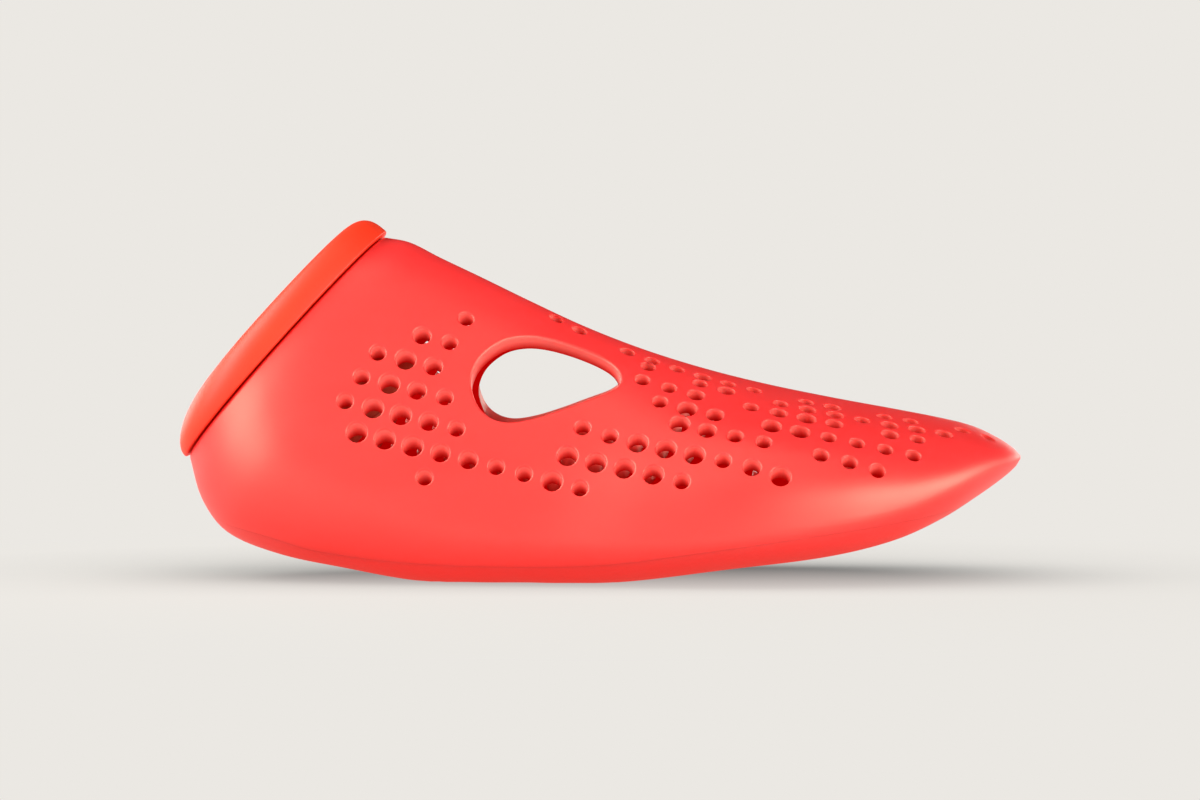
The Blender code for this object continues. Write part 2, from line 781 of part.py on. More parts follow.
def add_block(parts, material):
    """The cedar block, seated in the socket and carried by the cap."""
    up, out = cap_directions()
    face = CAP_SEAT_GAP + CAP_TOP_HEIGHT - CAP_WALL - BLOCK_CLEARANCE
    centre = ring_middle(cap_top()) + out * (face - 0.5 * BLOCK_DEPTH)
    sizes = (BLOCK_LENGTH, BLOCK_WIDTH, BLOCK_DEPTH)
    data = box("freshener_block", centre, (up, ACROSS, out), sizes, BLOCK_CHAMFER)
    return add_object("freshener_block", data, parts, material)


def ride_on_cap(parts, pieces):
    """An empty on the axis along which the cap pulls off, as the parent of what comes off."""
    up, out = cap_directions()
    middle = ring_centre(SECTIONS[0])
    carrier = bpy.data.objects.new("cap_pull", None)
    parts.objects.link(carrier)
    carrier.empty_display_size = AXIS_MARK
    turn = out.to_track_quat("Z", "Y").to_matrix().to_4x4()
    carrier.matrix_world = Matrix.Translation(middle) @ turn
    bpy.context.view_layer.update()
    for piece in pieces:
        piece.parent = carrier
        piece.matrix_parent_inverse = carrier.matrix_world.inverted()


def main():
    clear_scene()
    parts = new_collection("shoe_shaper")
    cutters = new_collection("cutters")
    red = plastic("red moulded plastic", PLASTIC_RED, 0.32)
    orange = plastic("orange moulded plastic", PLASTIC_ORANGE, 0.45)
    cedar = plastic("cedar wood", CEDAR, 0.7)

    sections = blended_sections(LONGEST_RING_STEP)
    rings = [section_ring(section) for section in sections]
    form = (sections, rings, ring_normals(rings))
    add_shells(form, parts, cutters, red)
    cap = add_heel_cap(form, parts, cutters, orange)
    block = add_block(parts, cedar)
    ride_on_cap(parts, [cap, block])


main()
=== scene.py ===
# %% [markdown]
# # A perforated shoe shaper
#
# A shoe shaper is a hollow plastic foot that keeps a shoe in form between wearings. This one has a
# finger window through its waist, a field of round perforations that lets a drying block breathe, and a
# cap over a slanted opening at the heel. In this lesson you will build it as one smooth loft, part it
# into an upper and a sole, pierce it with Geometry Nodes, and give each piece its own finish.
#
# The frame comes first. It holds the measured solids and the joint that lets the cap pull off. Every
# piece you make stands in for one of those solids, in metres, in the same place.

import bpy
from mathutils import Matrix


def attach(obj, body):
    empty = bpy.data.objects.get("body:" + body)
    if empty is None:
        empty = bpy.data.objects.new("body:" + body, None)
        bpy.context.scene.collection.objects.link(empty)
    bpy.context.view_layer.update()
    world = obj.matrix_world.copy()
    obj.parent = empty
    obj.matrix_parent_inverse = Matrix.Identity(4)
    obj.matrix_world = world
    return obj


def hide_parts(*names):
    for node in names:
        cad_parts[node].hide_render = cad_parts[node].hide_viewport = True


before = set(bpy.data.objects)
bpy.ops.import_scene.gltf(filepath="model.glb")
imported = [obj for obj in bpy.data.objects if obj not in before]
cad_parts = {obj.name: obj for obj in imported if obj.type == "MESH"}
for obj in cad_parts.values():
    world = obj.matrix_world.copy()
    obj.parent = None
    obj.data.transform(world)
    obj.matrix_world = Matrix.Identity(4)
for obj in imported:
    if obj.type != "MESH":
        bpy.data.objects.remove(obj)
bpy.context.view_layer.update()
print("solids:", ", ".join(sorted(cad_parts)))

# %% [markdown]
# ## Camera
#
# A product is often photographed straight from the side with a long lens, from so far away that its
# edges hardly converge. You place the camera 0.82 m in front, a little above half the height, and turn
# it by less than two degrees until the middle of the picture falls on the waist. Turning is better
# than shifting the lens here, because a turned camera can be moved to other views without a side effect.

# %% Camera
from collections import namedtuple
from math import ceil, cos, pi, radians, sin, sqrt

import bmesh
import bpy
from mathutils import Vector
from mathutils.bvhtree import BVHTree
from mathutils.geometry import barycentric_transform

scene = bpy.context.scene
CAMERA_PLACE = Vector((-0.0020, -0.8200, 0.0670))
PICTURE_MIDDLE = Vector((0.0000, 0.0000, 0.0560))
PICTURE_WIDTH = 0.3780
NEAREST_SEEN = 0.01

camera = bpy.data.objects.new("side_camera", bpy.data.cameras.new("side_camera"))
scene.collection.objects.link(camera)
sight = PICTURE_MIDDLE - CAMERA_PLACE
camera.location = CAMERA_PLACE
camera.rotation_euler = sight.to_track_quat("-Z", "Y").to_euler()
camera.data.lens = camera.data.sensor_width * sight.length / PICTURE_WIDTH
camera.data.clip_start = NEAREST_SEEN
scene.camera = camera
print(f"lens {camera.data.lens:.1f} mm, {sight.length:.3f} m from the part")

# %% [markdown]
# ## Node maths as Python
#
# Materials and Geometry Nodes both do sums with little boxes and wires, and a formula of ten boxes is
# hard to read. This small class wraps one output socket. It gives the socket Python's own operators, so
# that a sum in a node tree reads like a sum in a script. Numbers go through Math nodes and directions
# and colours through Vector Math nodes. Any other node comes from one call, with its settings first and
# then its values.


# %% Wires
class Wire:
    """An output socket of a node tree, with operators that add the nodes for a sum."""

    def __init__(self, socket):
        self.socket = socket

    @staticmethod
    def plug(value, socket):
        """Links a wire to an input, or sets the input's own value."""
        if isinstance(value, Wire):
            socket.id_data.links.new(value.socket, socket)
        elif socket.type in ("VECTOR", "RGBA") and isinstance(value, (int, float)):
            socket.default_value = (value,) * len(socket.default_value)
        else:
            socket.default_value = value

    @classmethod
    def node(cls, tree, kind, settings=None, values=None, output=0):
        """Adds a node and returns the wire from one of its outputs."""
        made = tree.nodes.new(kind)
        for name, value in (settings or {}).items():
            setattr(made, name, value)
        for name, value in (values or {}).items():
            cls.plug(value, made.inputs[name])
        return cls(made.outputs[output])

    def sibling(self, name):
        """Another output of the same node."""
        return Wire(self.socket.node.outputs[name])

    def sum(self, operation, *terms):
        """One Math or Vector Math node on these terms."""
        flow = [term.socket.type for term in terms if isinstance(term, Wire)]
        wide = "VECTOR" in flow or "RGBA" in flow or any(isinstance(t, tuple) for t in terms)
        kind = "ShaderNodeVectorMath" if wide else "ShaderNodeMath"
        values = dict(enumerate(terms))
        return Wire.node(self.socket.id_data, kind, {"operation": operation}, values)

    def __add__(self, other):
        return self.sum("ADD", self, other)

    def __radd__(self, other):
        return self.sum("ADD", other, self)

    def __sub__(self, other):
        return self.sum("SUBTRACT", self, other)

    def __rsub__(self, other):
        return self.sum("SUBTRACT", other, self)

    def __mul__(self, other):
        return self.sum("MULTIPLY", self, other)

    def __rmul__(self, other):
        return self.sum("MULTIPLY", other, self)

    def __truediv__(self, other):
        return self.sum("DIVIDE", self, other)

    def __pow__(self, other):
        return self.sum("POWER", self, other)

    def above(self, level):
        """1 where the value is greater than the level, else 0."""
        return self.sum("GREATER_THAN", self, level)

    def dot(self, other):
        return self.sum("DOT_PRODUCT", self, other).sibling("Value")

    def cross(self, other):
        return self.sum("CROSS_PRODUCT", self, other)

    def unit(self):
        return self.sum("NORMALIZE", self)

    def length(self):
        return self.sum("LENGTH", self).sibling("Value")

    def sine(self):
        return self.sum("SINE", self)

    def clamped(self, low, high):
        return self.sum("MINIMUM", self.sum("MAXIMUM", self, low), high)


print("a wire has:", ", ".join(name for name in vars(Wire) if not name.startswith("_")))

# %% [markdown]
# ## The form
#
# The foot is a loft: a skin drawn through rings. Every ring stands on the sole line and reaches up to
# the ridge line. At the heel the rings lean 42 degrees towards the toe, because the opening under the cap
# is cut at that slant, and further on they swing upright. A ring is two different arches that meet where
# the foot is widest. An arch is a superellipse, which can be flat like a roof or full like a barrel.
# That is enough to describe a heel, a waist and a toe with one short list of sections.
#
# Each section gives its sole point and its ridge point in the side view, half of its width, how far up it
# is widest, the slope of the roof at its top, and the powers of the upper and the lower arch.

# %% The list of sections
Section = namedtuple(
    "Section", "sole_x sole_z ridge_x ridge_z half_width widest gable crown flank belly edge"
)
SECTIONS = [
    Section(-0.1290, 0.0386, -0.0679, 0.1072, 0.0270, 0.42, 0.00, 2.00, 2.00, 2.0, 2.0),
    Section(-0.1250, 0.0250, -0.0598, 0.1056, 0.0300, 0.38, 0.00, 2.00, 1.90, 2.1, 2.0),
    Section(-0.1170, 0.0146, -0.0504, 0.1009, 0.0325, 0.34, 0.00, 1.95, 1.85, 2.2, 2.0),
    Section(-0.1010, 0.0079, -0.0378, 0.0949, 0.0340, 0.30, 0.01, 1.90, 1.85, 2.4, 2.0),
    Section(-0.0800, 0.0035, -0.0220, 0.0872, 0.0350, 0.27, 0.04, 1.90, 2.00, 2.6, 2.0),
    Section(-0.0550, -0.0006, -0.0050, 0.0793, 0.0365, 0.25, 0.09, 1.95, 2.20, 2.8, 2.0),
    Section(-0.0270, -0.0012, 0.0126, 0.0724, 0.0392, 0.24, 0.14, 2.05, 2.45, 2.8, 2.0),
    Section(0.0050, -0.0006, 0.0315, 0.0664, 0.0452, 0.23, 0.18, 2.20, 2.75, 2.8, 2.0),
    Section(0.0400, 0.0037, 0.0520, 0.0612, 0.0496, 0.22, 0.20, 2.35, 3.20, 2.8, 2.0),
    Section(0.0700, 0.0074, 0.0740, 0.0567, 0.0482, 0.25, 0.21, 2.45, 3.40, 2.6, 2.0),
    Section(0.0910, 0.0123, 0.0920, 0.0534, 0.0431, 0.30, 0.21, 2.50, 3.00, 2.4, 2.0),
    Section(0.1060, 0.0188, 0.1065, 0.0506, 0.0373, 0.36, 0.19, 2.45, 2.60, 2.2, 2.0),
    Section(0.1170, 0.0254, 0.1173, 0.0479, 0.0297, 0.41, 0.14, 2.30, 2.25, 2.0, 2.0),
    Section(0.1250, 0.0309, 0.1252, 0.0442, 0.0212, 0.45, 0.08, 2.10, 2.10, 2.0, 2.0),
    Section(0.1296, 0.0346, 0.1297, 0.0412, 0.0131, 0.48, 0.03, 2.00, 2.00, 2.0, 2.0),
    Section(0.1315, 0.0369, 0.1315, 0.0394, 0.0065, 0.50, 0.00, 2.00, 2.00, 2.0, 2.0),
]
TOE_TIP = Vector((0.1321, 0.0, 0.0381))
print(f"{len(SECTIONS)} sections, {1000.0 * max(s.half_width for s in SECTIONS):.1f} mm half width")

# %% [markdown]
# ## One ring
#
# A ring is worked out flat, half of it at a time. A quarter outline runs from the centre plane to the
# widest point, once for the arch above and once for the arch below. The two are joined and cut into
# equal steps, because even steps give even triangles. The half is then set up in the ring's slanted
# plane and mirrored. Points that would dip under the floor are held on it, which makes the flat that
# the shaper stands on.

# %% One ring
RIDGE_ROUND = 0.0030
OUTLINE_SAMPLES = 160
HALF_RING_STEPS = 64
SHORTEST_SPAN = 1e-12
ACROSS = Vector((0.0, 1.0, 0.0))


def ring_frame(section):
    """The ring's sole point, its unit direction up to the ridge line, and its height."""
    sole = Vector((section.sole_x, 0.0, section.sole_z))
    rise = Vector((section.ridge_x, 0.0, section.ridge_z)) - sole
    return sole, rise.normalized(), rise.length


def quarter(height, half_width, across_power, up_power, gable=0.0):
    """A quarter outline, from its end on the centre plane to its widest point."""

    def roof(across):
        return gable * (sqrt(across**2 + RIDGE_ROUND**2) - RIDGE_ROUND)

    eaves = roof(half_width)
    points = []
    for step in range(OUTLINE_SAMPLES + 1):
        turn = 0.5 * pi * step / OUTLINE_SAMPLES
        across = half_width * sin(turn) ** (2.0 / across_power)
        up = (height - eaves) * max(cos(turn), 0.0) ** (2.0 / up_power)
        points.append(Vector((across, up + eaves - roof(across))))
    return points


def resample(points, steps):
    """Points at equal steps along a line of points."""
    lengths = [0.0]
    for before, after in zip(points, points[1:]):
        lengths.append(lengths[-1] + (after - before).length)
    result = []
    index = 0
    for step in range(steps + 1):
        wanted = lengths[-1] * step / steps
        while index < len(points) - 2 and lengths[index + 1] < wanted:
            index += 1
        span = max(lengths[index + 1] - lengths[index], SHORTEST_SPAN)
        result.append(points[index].lerp(points[index + 1], (wanted - lengths[index]) / span))
    return result


def section_ring(section):
    """The ring of a section, from the ridge down the -Y side and up the +Y side."""
    sole, up, height = ring_frame(section)
    level = section.widest * height
    upper = quarter(
        height - level, section.half_width, section.crown, section.flank, section.gable
    )
    lower = quarter(level, section.half_width, section.belly, section.edge)
    half = [Vector((point.x, level + point.y)) for point in upper]
    half += [Vector((point.x, level - point.y)) for point in reversed(lower[:-1])]
    half = resample(half, HALF_RING_STEPS)
    near = [sole + up * point.y - ACROSS * point.x for point in half]
    far = [sole + up * point.y + ACROSS * point.x for point in reversed(half[1:-1])]
    return [Vector((point.x, point.y, max(point.z, 0.0))) for point in near + far]


widest_ring = section_ring(max(SECTIONS, key=lambda section: section.half_width))
print(f"a ring has {len(widest_ring)} points")

# %% [markdown]
# ## Sections between the sections
#
# Sixteen rings would give a skin of flat bands. Cubic curves through every number of the list give as
# many rings between them as you like, no further than 2 mm apart, and the skin bends smoothly through
# the ones that are listed.

# %% Blended sections
LONGEST_RING_STEP = 0.0020


def ring_centre(section):
    """The middle of a ring's height."""
    sole, up, height = ring_frame(section)
    return sole + up * (0.5 * height)


def blended_sections():
    """The sections with smooth ones between them."""
    stations = [0.0]
    for before, after in zip(SECTIONS, SECTIONS[1:]):
        stations.append(stations[-1] + (ring_centre(after) - ring_centre(before)).length)

    def slope(index, field):
        left = max(index - 1, 0)
        right = min(index + 1, len(SECTIONS) - 1)
        rise = SECTIONS[right][field] - SECTIONS[left][field]
        return rise / (stations[right] - stations[left])

    result = []
    for index, (before, after) in enumerate(zip(SECTIONS, SECTIONS[1:])):
        span = stations[index + 1] - stations[index]
        steps = max(ceil(span / LONGEST_RING_STEP), 1)
        for step in range(steps):
            t = step / steps
            values = []
            for field in range(len(before)):
                start = before[field] * (1.0 + 2.0 * t) * (1.0 - t) ** 2
                end = after[field] * (3.0 - 2.0 * t) * t**2
                leave = slope(index, field) * span * t * (1.0 - t) ** 2
                arrive = slope(index + 1, field) * span * (t - 1.0) * t**2
                values.append(start + end + leave + arrive)
            result.append(Section(*values))
    return result + [SECTIONS[-1]]


sections = blended_sections()
rings = [section_ring(section) for section in sections]
print(f"{len(rings)} rings of {len(rings[0])} points")

# %% [markdown]
# ## Which way is out, and rings under the skin
#
# Two things are needed again and again: the outward direction at a point of the skin, and the same rings
# a few millimetres further in. The direction comes from a point's four neighbours. An inner ring has to
# stay in the plane of its outer ring, so each point moves inward in that plane, and a little further
# where the skin slants across it. That keeps the wall equally thick. The inner rings end before the toe
# closes.

# %% Directions and inner rings
INNER_SECTIONS = 12


def ring_normals(rings):
    """The outward direction at each point of the rings, by its neighbours."""
    count = len(rings[0])
    normals = []
    for index, ring in enumerate(rings):
        behind = rings[max(index - 1, 0)]
        ahead = rings[min(index + 1, len(rings) - 1)]
        row = []
        for point in range(count):
            along = ahead[point] - behind[point]
            around = ring[(point + 1) % count] - ring[point - 1]
            row.append(around.cross(along).normalized())
        normals.append(row)
    return normals


def inset_rings(depth, last=None):
    """Rings inside the form, in the same planes, this depth under the skin."""
    result = []
    for section, ring, row in list(zip(sections, rings, normals))[:last]:
        if section.sole_x > SECTIONS[INNER_SECTIONS].sole_x:
            break
        plane = ring_frame(section)[1].cross(ACROSS)
        inner = []
        for point, normal in zip(ring, row):
            flat = normal - plane * normal.dot(plane)
            inner.append(point - flat.normalized() * (depth / flat.length))
        result.append(inner)
    return result


normals = ring_normals(rings)
print(f"{len(inset_rings(0.0))} of {len(rings)} rings are hollow inside")

# %% [markdown]
# ## From rings to a hollow shell
#
# A moulded shell is the same thickness all over. You get it by lofting the outer skin from toe to heel,
# turning round the rim of the opening, and lofting back inside, 5 mm under the skin. A Solidify
# modifier would do the same in one step, but it pinches where the toe closes, and here the inner rings
# have to stay in the planes of the outer ones. The rim's outer corner is rounded, as it is on any
# plastic edge that a hand touches.
#
# First comes the loft itself. The triangles of both skins slant the same way and mirror about the centre
# plane, which keeps the nested skins from crossing.

# %% Lofting
ROUND_STEPS = 4


def mesh_of(solid, name):
    """Turns a bmesh into a mesh, and frees it."""
    mesh = bpy.data.meshes.new(name)
    solid.to_mesh(mesh)
    solid.free()
    return mesh


def loft(ring_list, first_end, last_end):
    """A closed skin of triangles through rings of equal count, with a point at either end."""
    skin = bmesh.new()
    rows = [[skin.verts.new(point) for point in ring] for ring in ring_list]
    count = len(ring_list[0])
    for before, after in zip(rows, rows[1:]):
        for index in range(count):
            following = (index + 1) % count
            if index < count // 2:
                skin.faces.new((before[index], before[following], after[following]))
                skin.faces.new((before[index], after[following], after[index]))
            else:
                skin.faces.new((before[index], before[following], after[index]))
                skin.faces.new((before[following], after[following], after[index]))
    for end, row in ((first_end, rows[0]), (last_end, rows[-1])):
        tip = skin.verts.new(end)
        for index in range(count):
            skin.faces.new((row[index], row[(index + 1) % count], tip))
    bmesh.ops.recalc_face_normals(skin, faces=skin.faces)
    return mesh_of(skin, "loft")


def mix(first, second, share):
    """A ring between two rings."""
    return [a.lerp(b, share) for a, b in zip(first, second)]


def bend(start, corner, end, share):
    """A point on the rounding from start to end that would else turn at the corner."""
    return start.lerp(corner, share).lerp(corner.lerp(end, share), share)


def rounded(start, corner, end, steps=ROUND_STEPS):
    """Rings that round off a corner ring between two rings."""
    result = []
    for step in range(steps + 1):
        points = zip(start, corner, end)
        result.append([bend(a, b, c, step / steps) for a, b, c in points])
    return result


def ring_middle(ring):
    """The mean of a ring's points."""
    return sum(ring, Vector()) / len(ring)


skin = loft(rings, ring_middle(rings[0]), TOE_TIP)
print(f"skin of {len(skin.polygons)} triangles")

# %% [markdown]
# ## The shell and its core
#
# Two closed meshes come from the same rings. The shell is the real moulding, with its wall. The core is a
# solid that fills the form from a chosen depth under the skin, and it is only a tool: it will cut the
# overlap of the seam.

# %% The hollow shell
WALL = 0.0050
RIM_ROUND = 0.0008
TOE_WALL_SHARE = 1.15


def toe_end(depth):
    """The toe's tip, moved inside by a wall of this depth."""
    return TOE_TIP - Vector((TOE_WALL_SHARE * depth, 0.0, 0.0))


def shell_mesh():
    """The hollow form: outer skin, rounded rim round the heel opening, inner skin."""
    step = (rings[1][0] - rings[0][0]).length
    rim_start = mix(rings[0], rings[1], RIM_ROUND / step)
    rim = rounded(rim_start, rings[0], inset_rings(RIM_ROUND, last=1)[0])
    inner = inset_rings(WALL)
    return loft(rings[:0:-1] + rim + inner, TOE_TIP, toe_end(WALL))


def core_mesh(depth):
    """A solid that fills the form from this depth under its skin."""
    inner = inset_rings(depth)
    return loft(inner, ring_middle(inner[0]), toe_end(depth))


whole = shell_mesh()
print(f"shell of {len(whole.polygons)} triangles")

# %% [markdown]
# ## Objects and cuts
#
# A cut is a Boolean modifier whose result replaces the mesh at once, so that the next cut starts from
# plain triangles. The Manifold solver is fast and exact on closed meshes, and every mesh here is closed.

# %% Objects and cuts
def add_object(name, data):
    """An object with this mesh or light, linked to the scene."""
    made = bpy.data.objects.new(name, data)
    scene.collection.objects.link(made)
    return made


def cut(piece, cutter, operation="DIFFERENCE"):
    """Cuts a piece with a cutter, keeps the plain result and removes the cutter."""
    modifier = piece.modifiers.new("cut", "BOOLEAN")
    modifier.operation = operation
    modifier.solver = "MANIFOLD"
    modifier.object = cutter
    settle(piece)
    bpy.data.objects.remove(cutter)


def settle(piece):
    """Turns what a piece's modifiers make into its own plain mesh."""
    graph = bpy.context.evaluated_depsgraph_get()
    made = bpy.data.meshes.new_from_object(piece.evaluated_get(graph))
    piece.modifiers.clear()
    old = piece.data
    piece.data = made
    bpy.data.meshes.remove(old)


upper = add_object("perforated_upper", whole)
sole = add_object("sole_shell_skin", whole.copy())
print("two copies of the shell:", upper.name, "and", sole.name)

# %% [markdown]
# ## Parting the shell along its seam
#
# The sole is a moulding of its own, welded to the upper along a line a little above the floor. A good
# weld is a hair line, so the gap here is only 0.03 mm. You draw that line once in the side view, and cut
# with blocks whose edge follows it. Inside the seam the two walls overlap in a step, half the wall each,
# so no light shows through the joint and the pieces can't slide past each other.

# %% Upper and sole
SHELL_GAP = 0.00003
LAP_HEIGHT = 0.0030
LAP_SHARE_OF_WALL = 0.5
SEAM_STEPS = 8
SEAM_BLOCK_HALF_WIDTH = 0.0800
SEAM_BLOCK_TOP = 0.1600
SEAM_BLOCK_BOTTOM = -0.0300
SEAM_LINE = [
    (-0.1400, 0.0230),
    (-0.1210, 0.0190),
    (-0.1009, 0.0139),
    (-0.0873, 0.0100),
    (-0.0630, 0.0070),
    (-0.0310, 0.0058),
    (0.0000, 0.0068),
    (0.0315, 0.0112),
    (0.0600, 0.0155),
    (0.0884, 0.0196),
    (0.1100, 0.0236),
    (0.1210, 0.0280),
    (0.1400, 0.0330),
]


def smooth_line(points, steps, closed=False):
    """A smooth line through points of the side view, back to the first if it is closed."""
    count = len(points)
    spans = range(count) if closed else range(count - 1)
    result = []
    for index in spans:
        places = [index - 1, index, index + 1, index + 2]
        if closed:
            places = [place % count for place in places]
        else:
            places = [min(max(place, 0), count - 1) for place in places]
        p0, p1, p2, p3 = [Vector(points[place]) for place in places]
        for step in range(steps):
            t = step / steps
            curl = (2.0 * p0 - 5.0 * p1 + 4.0 * p2 - p3) * t + (3.0 * (p1 - p2) + p3 - p0) * t**2
            result.append(p1 + 0.5 * t * (p2 - p0 + curl))
    if not closed:
        result.append(Vector(points[-1]))
    return [(point.x, point.y) for point in result]


def prism(name, ring_list):
    """A closed solid through rings of equal count, with flat ends."""
    solid = bmesh.new()
    rows = [[solid.verts.new(point) for point in ring] for ring in ring_list]
    count = len(ring_list[0])
    for before, after in zip(rows, rows[1:]):
        for index in range(count):
            following = (index + 1) % count
            solid.faces.new((before[index], before[following], after[following], after[index]))
    solid.faces.new(rows[0])
    solid.faces.new(rows[-1])
    bmesh.ops.recalc_face_normals(solid, faces=solid.faces)
    bmesh.ops.triangulate(solid, faces=[face for face in solid.faces if len(face.verts) > 4])
    return add_object(name, mesh_of(solid, name))


def seam_block(height, above):
    """A block on one side of the seam line, which is raised by height."""
    far_z = SEAM_BLOCK_TOP if above else SEAM_BLOCK_BOTTOM
    outline = [(x, z + height) for x, z in smooth_line(SEAM_LINE, SEAM_STEPS)]
    outline += [(SEAM_LINE[-1][0], far_z), (SEAM_LINE[0][0], far_z)]
    sides = (-SEAM_BLOCK_HALF_WIDTH, SEAM_BLOCK_HALF_WIDTH)
    return prism("seam_block", [[Vector((x, y, z)) for x, z in outline] for y in sides])


half_gap = 0.5 * SHELL_GAP
lap_depth = LAP_SHARE_OF_WALL * WALL

cut(upper, seam_block(half_gap, above=False))
step_core = add_object("step_core", core_mesh(lap_depth - half_gap))
cut(step_core, seam_block(LAP_HEIGHT, above=False), "INTERSECT")
cut(upper, step_core)

cut(sole, seam_block(LAP_HEIGHT - SHELL_GAP, above=True))
outer_trim = seam_block(-half_gap, above=True)
cut(outer_trim, add_object("lap_core", core_mesh(lap_depth + half_gap)))
cut(sole, outer_trim)
print(f"upper {len(upper.data.polygons)} faces, sole {len(sole.data.polygons)} faces")

# %% [markdown]
# ## The finger window
#
# The window is where a finger hooks in to pull the shaper out of a shoe. It is a teardrop, and its wall
# runs in the direction in which the mould's cores leave, 43 degrees above the horizontal on each side.
# Its edge is generously rounded. The outline is drawn in the side view, so you throw each of its points
# straight across onto the skin. From there you step outward along the skin to where the rounding starts,
# and down the wall to where it ends, and bend between the two. The cutter that results already has the
# rounded lip in it.

# %% Finger windows
DRAW_TILT = radians(43.0)
WINDOW_CENTRE = (-0.0165, 0.0629)
WINDOW_LENGTH = 0.0454
WINDOW_HEIGHT = 0.0257
WINDOW_SHAPE = [
    (-1.000, -0.132),
    (-0.962, 0.261),
    (-0.831, 0.602),
    (-0.593, 0.890),
    (-0.315, 0.999),
    (-0.003, 0.954),
    (0.371, 0.770),
    (0.729, 0.508),
    (0.940, 0.240),
    (0.998, -0.060),
    (0.875, -0.264),
    (0.565, -0.472),
    (0.195, -0.713),
    (-0.173, -0.914),
    (-0.494, -1.000),
    (-0.731, -0.895),
    (-0.909, -0.605),
]
WINDOW_STEPS = 7
WINDOW_ROUND = 0.0011
WINDOW_REACH_OUT = 0.0100
WINDOW_REACH_IN = 0.0160
RAY_START = 0.0600

skin_tree = BVHTree.FromPolygons(
    [vertex.co.copy() for vertex in skin.vertices],
    [tuple(face.vertices) for face in skin.polygons],
)
vertex_lifts = [normal for row in normals for normal in row]
vertex_lifts += [-ring_frame(sections[0])[1].cross(ACROSS), Vector((1.0, 0.0, 0.0))]


def smooth_lift(point):
    """The nearest point of the skin, and the outward direction blended between its corners."""
    nearest, _, index, _ = skin_tree.find_nearest(point)
    corners = skin.polygons[index].vertices
    triangle = [skin.vertices[corner].co for corner in corners]
    lifts = [vertex_lifts[corner] for corner in corners]
    return nearest, barycentric_transform(nearest, *triangle, *lifts).normalized()


def draw_direction(side):
    """The direction in which the mould's cores leave this side, -1 or +1."""
    return Vector((0.0, side * cos(DRAW_TILT), sin(DRAW_TILT)))


def mirrored(point):
    """The same point on the other side of the centre plane."""
    return Vector((point.x, -point.y, point.z))


def thrown_on_skin(x, z):
    """The skin's point and outward direction at this place of the side view, on the -Y side."""
    return smooth_lift(skin_tree.ray_cast(Vector((x, -RAY_START, z)), ACROSS)[0])


def window_rings():
    """Rings of the window's cutter on the -Y side, from outside the skin to inside the wall."""
    draw = draw_direction(-1.0)
    centre_x, centre_z = WINDOW_CENTRE
    places = []
    for across, up in smooth_line(WINDOW_SHAPE, WINDOW_STEPS, closed=True):
        x = centre_x + 0.5 * WINDOW_LENGTH * across
        z = centre_z + 0.5 * WINDOW_HEIGHT * up
        places.append(thrown_on_skin(x, z))
    corner = [place for place, lift in places]
    lip = []
    for index, (place, lift) in enumerate(places):
        around = corner[(index + 1) % len(corner)] - corner[index - 1]
        away = lift.cross(around).normalized()
        if away.dot(place - ring_middle(corner)) < 0.0:
            away.negate()
        lip.append(skin_tree.find_nearest(place + away * WINDOW_ROUND)[0])
    outside = [point + place[1] * WINDOW_REACH_OUT for point, place in zip(lip, places)]
    wall_start = [point - draw * WINDOW_ROUND for point in corner]
    wall_end = [point - draw * WINDOW_REACH_IN for point in corner]
    return [outside] + rounded(lip, corner, wall_start) + [wall_end]


near_window = window_rings()
cut(upper, prism("near_window", near_window))
cut(upper, prism("far_window", [[mirrored(point) for point in ring] for ring in near_window]))
print(f"upper with its windows: {len(upper.data.polygons)} faces")

# %% [markdown]
# ## Where the perforations go
#
# The perforations look scattered, but they follow rows. On the forefoot each row runs along the foot at
# its own distance down from the ridge, and on the heel they sit on a slanted grid. Large, medium and
# small ones are mixed, and some places are left out. You can read each row off as a word: L, M and S
# are perforations, and a point is a gap.

# %% Places of the perforations
ROW_SAMPLES = 24
ForefootRow = namedtuple("ForefootRow", "start_x end_x start_down middle_down end_down pattern")
FOREFOOT_ROWS = [
    ForefootRow(-0.0137, 0.1203, 0.0064, 0.0144, 0.0135, "SS.SSSMSS.SM.SS.SS"),
    ForefootRow(0.0148, 0.1056, 0.0159, 0.0219, 0.0214, "S.SM.SMMSMMM"),
    ForefootRow(0.0129, 0.0966, 0.0239, 0.0290, 0.0294, "SSM.SMLM.MS"),
    ForefootRow(0.0181, 0.0943, 0.0326, 0.0379, 0.0389, "SLM.LLSSSS"),
    ForefootRow(0.0239, 0.0827, 0.0408, 0.0460, 0.0486, "LMSS.SSS"),
    ForefootRow(-0.0054, 0.0535, 0.0472, 0.0510, 0.0569, "SSLLLSML"),
    ForefootRow(-0.0099, 0.0243, 0.0576, 0.0579, 0.0604, "LLLLS"),
]
HeelRow = namedtuple("HeelRow", "row first pattern")
SIZE_LETTERS = "SML"
GAP = "."
HEEL_GRID_START = (-0.0736, 0.0468)
HEEL_STEP_ALONG = (0.00844, -0.00208)
HEEL_STEP_UP = (0.00477, 0.00732)
HEEL_ROWS = [
    HeelRow(-1, 3, "S"),
    HeelRow(0, 0, "LLLMMSSLS"),
    HeelRow(1, -1, "SLLMS"),
    HeelRow(2, -1, "SLMS"),
    HeelRow(3, -1, "SLM"),
    HeelRow(4, 0, "MS"),
    HeelRow(5, 1, "S"),
]


def near_section(x):
    """The skin at station x as points from the ridge down the -Y side."""
    points = []
    for index in range(HALF_RING_STEPS + 1):
        for before, after in zip(rings, rings[1:]):
            start = before[index]
            end = after[index]
            if start.x <= x < end.x:
                points.append(start.lerp(end, (x - start.x) / (end.x - start.x)))
                break
    return points


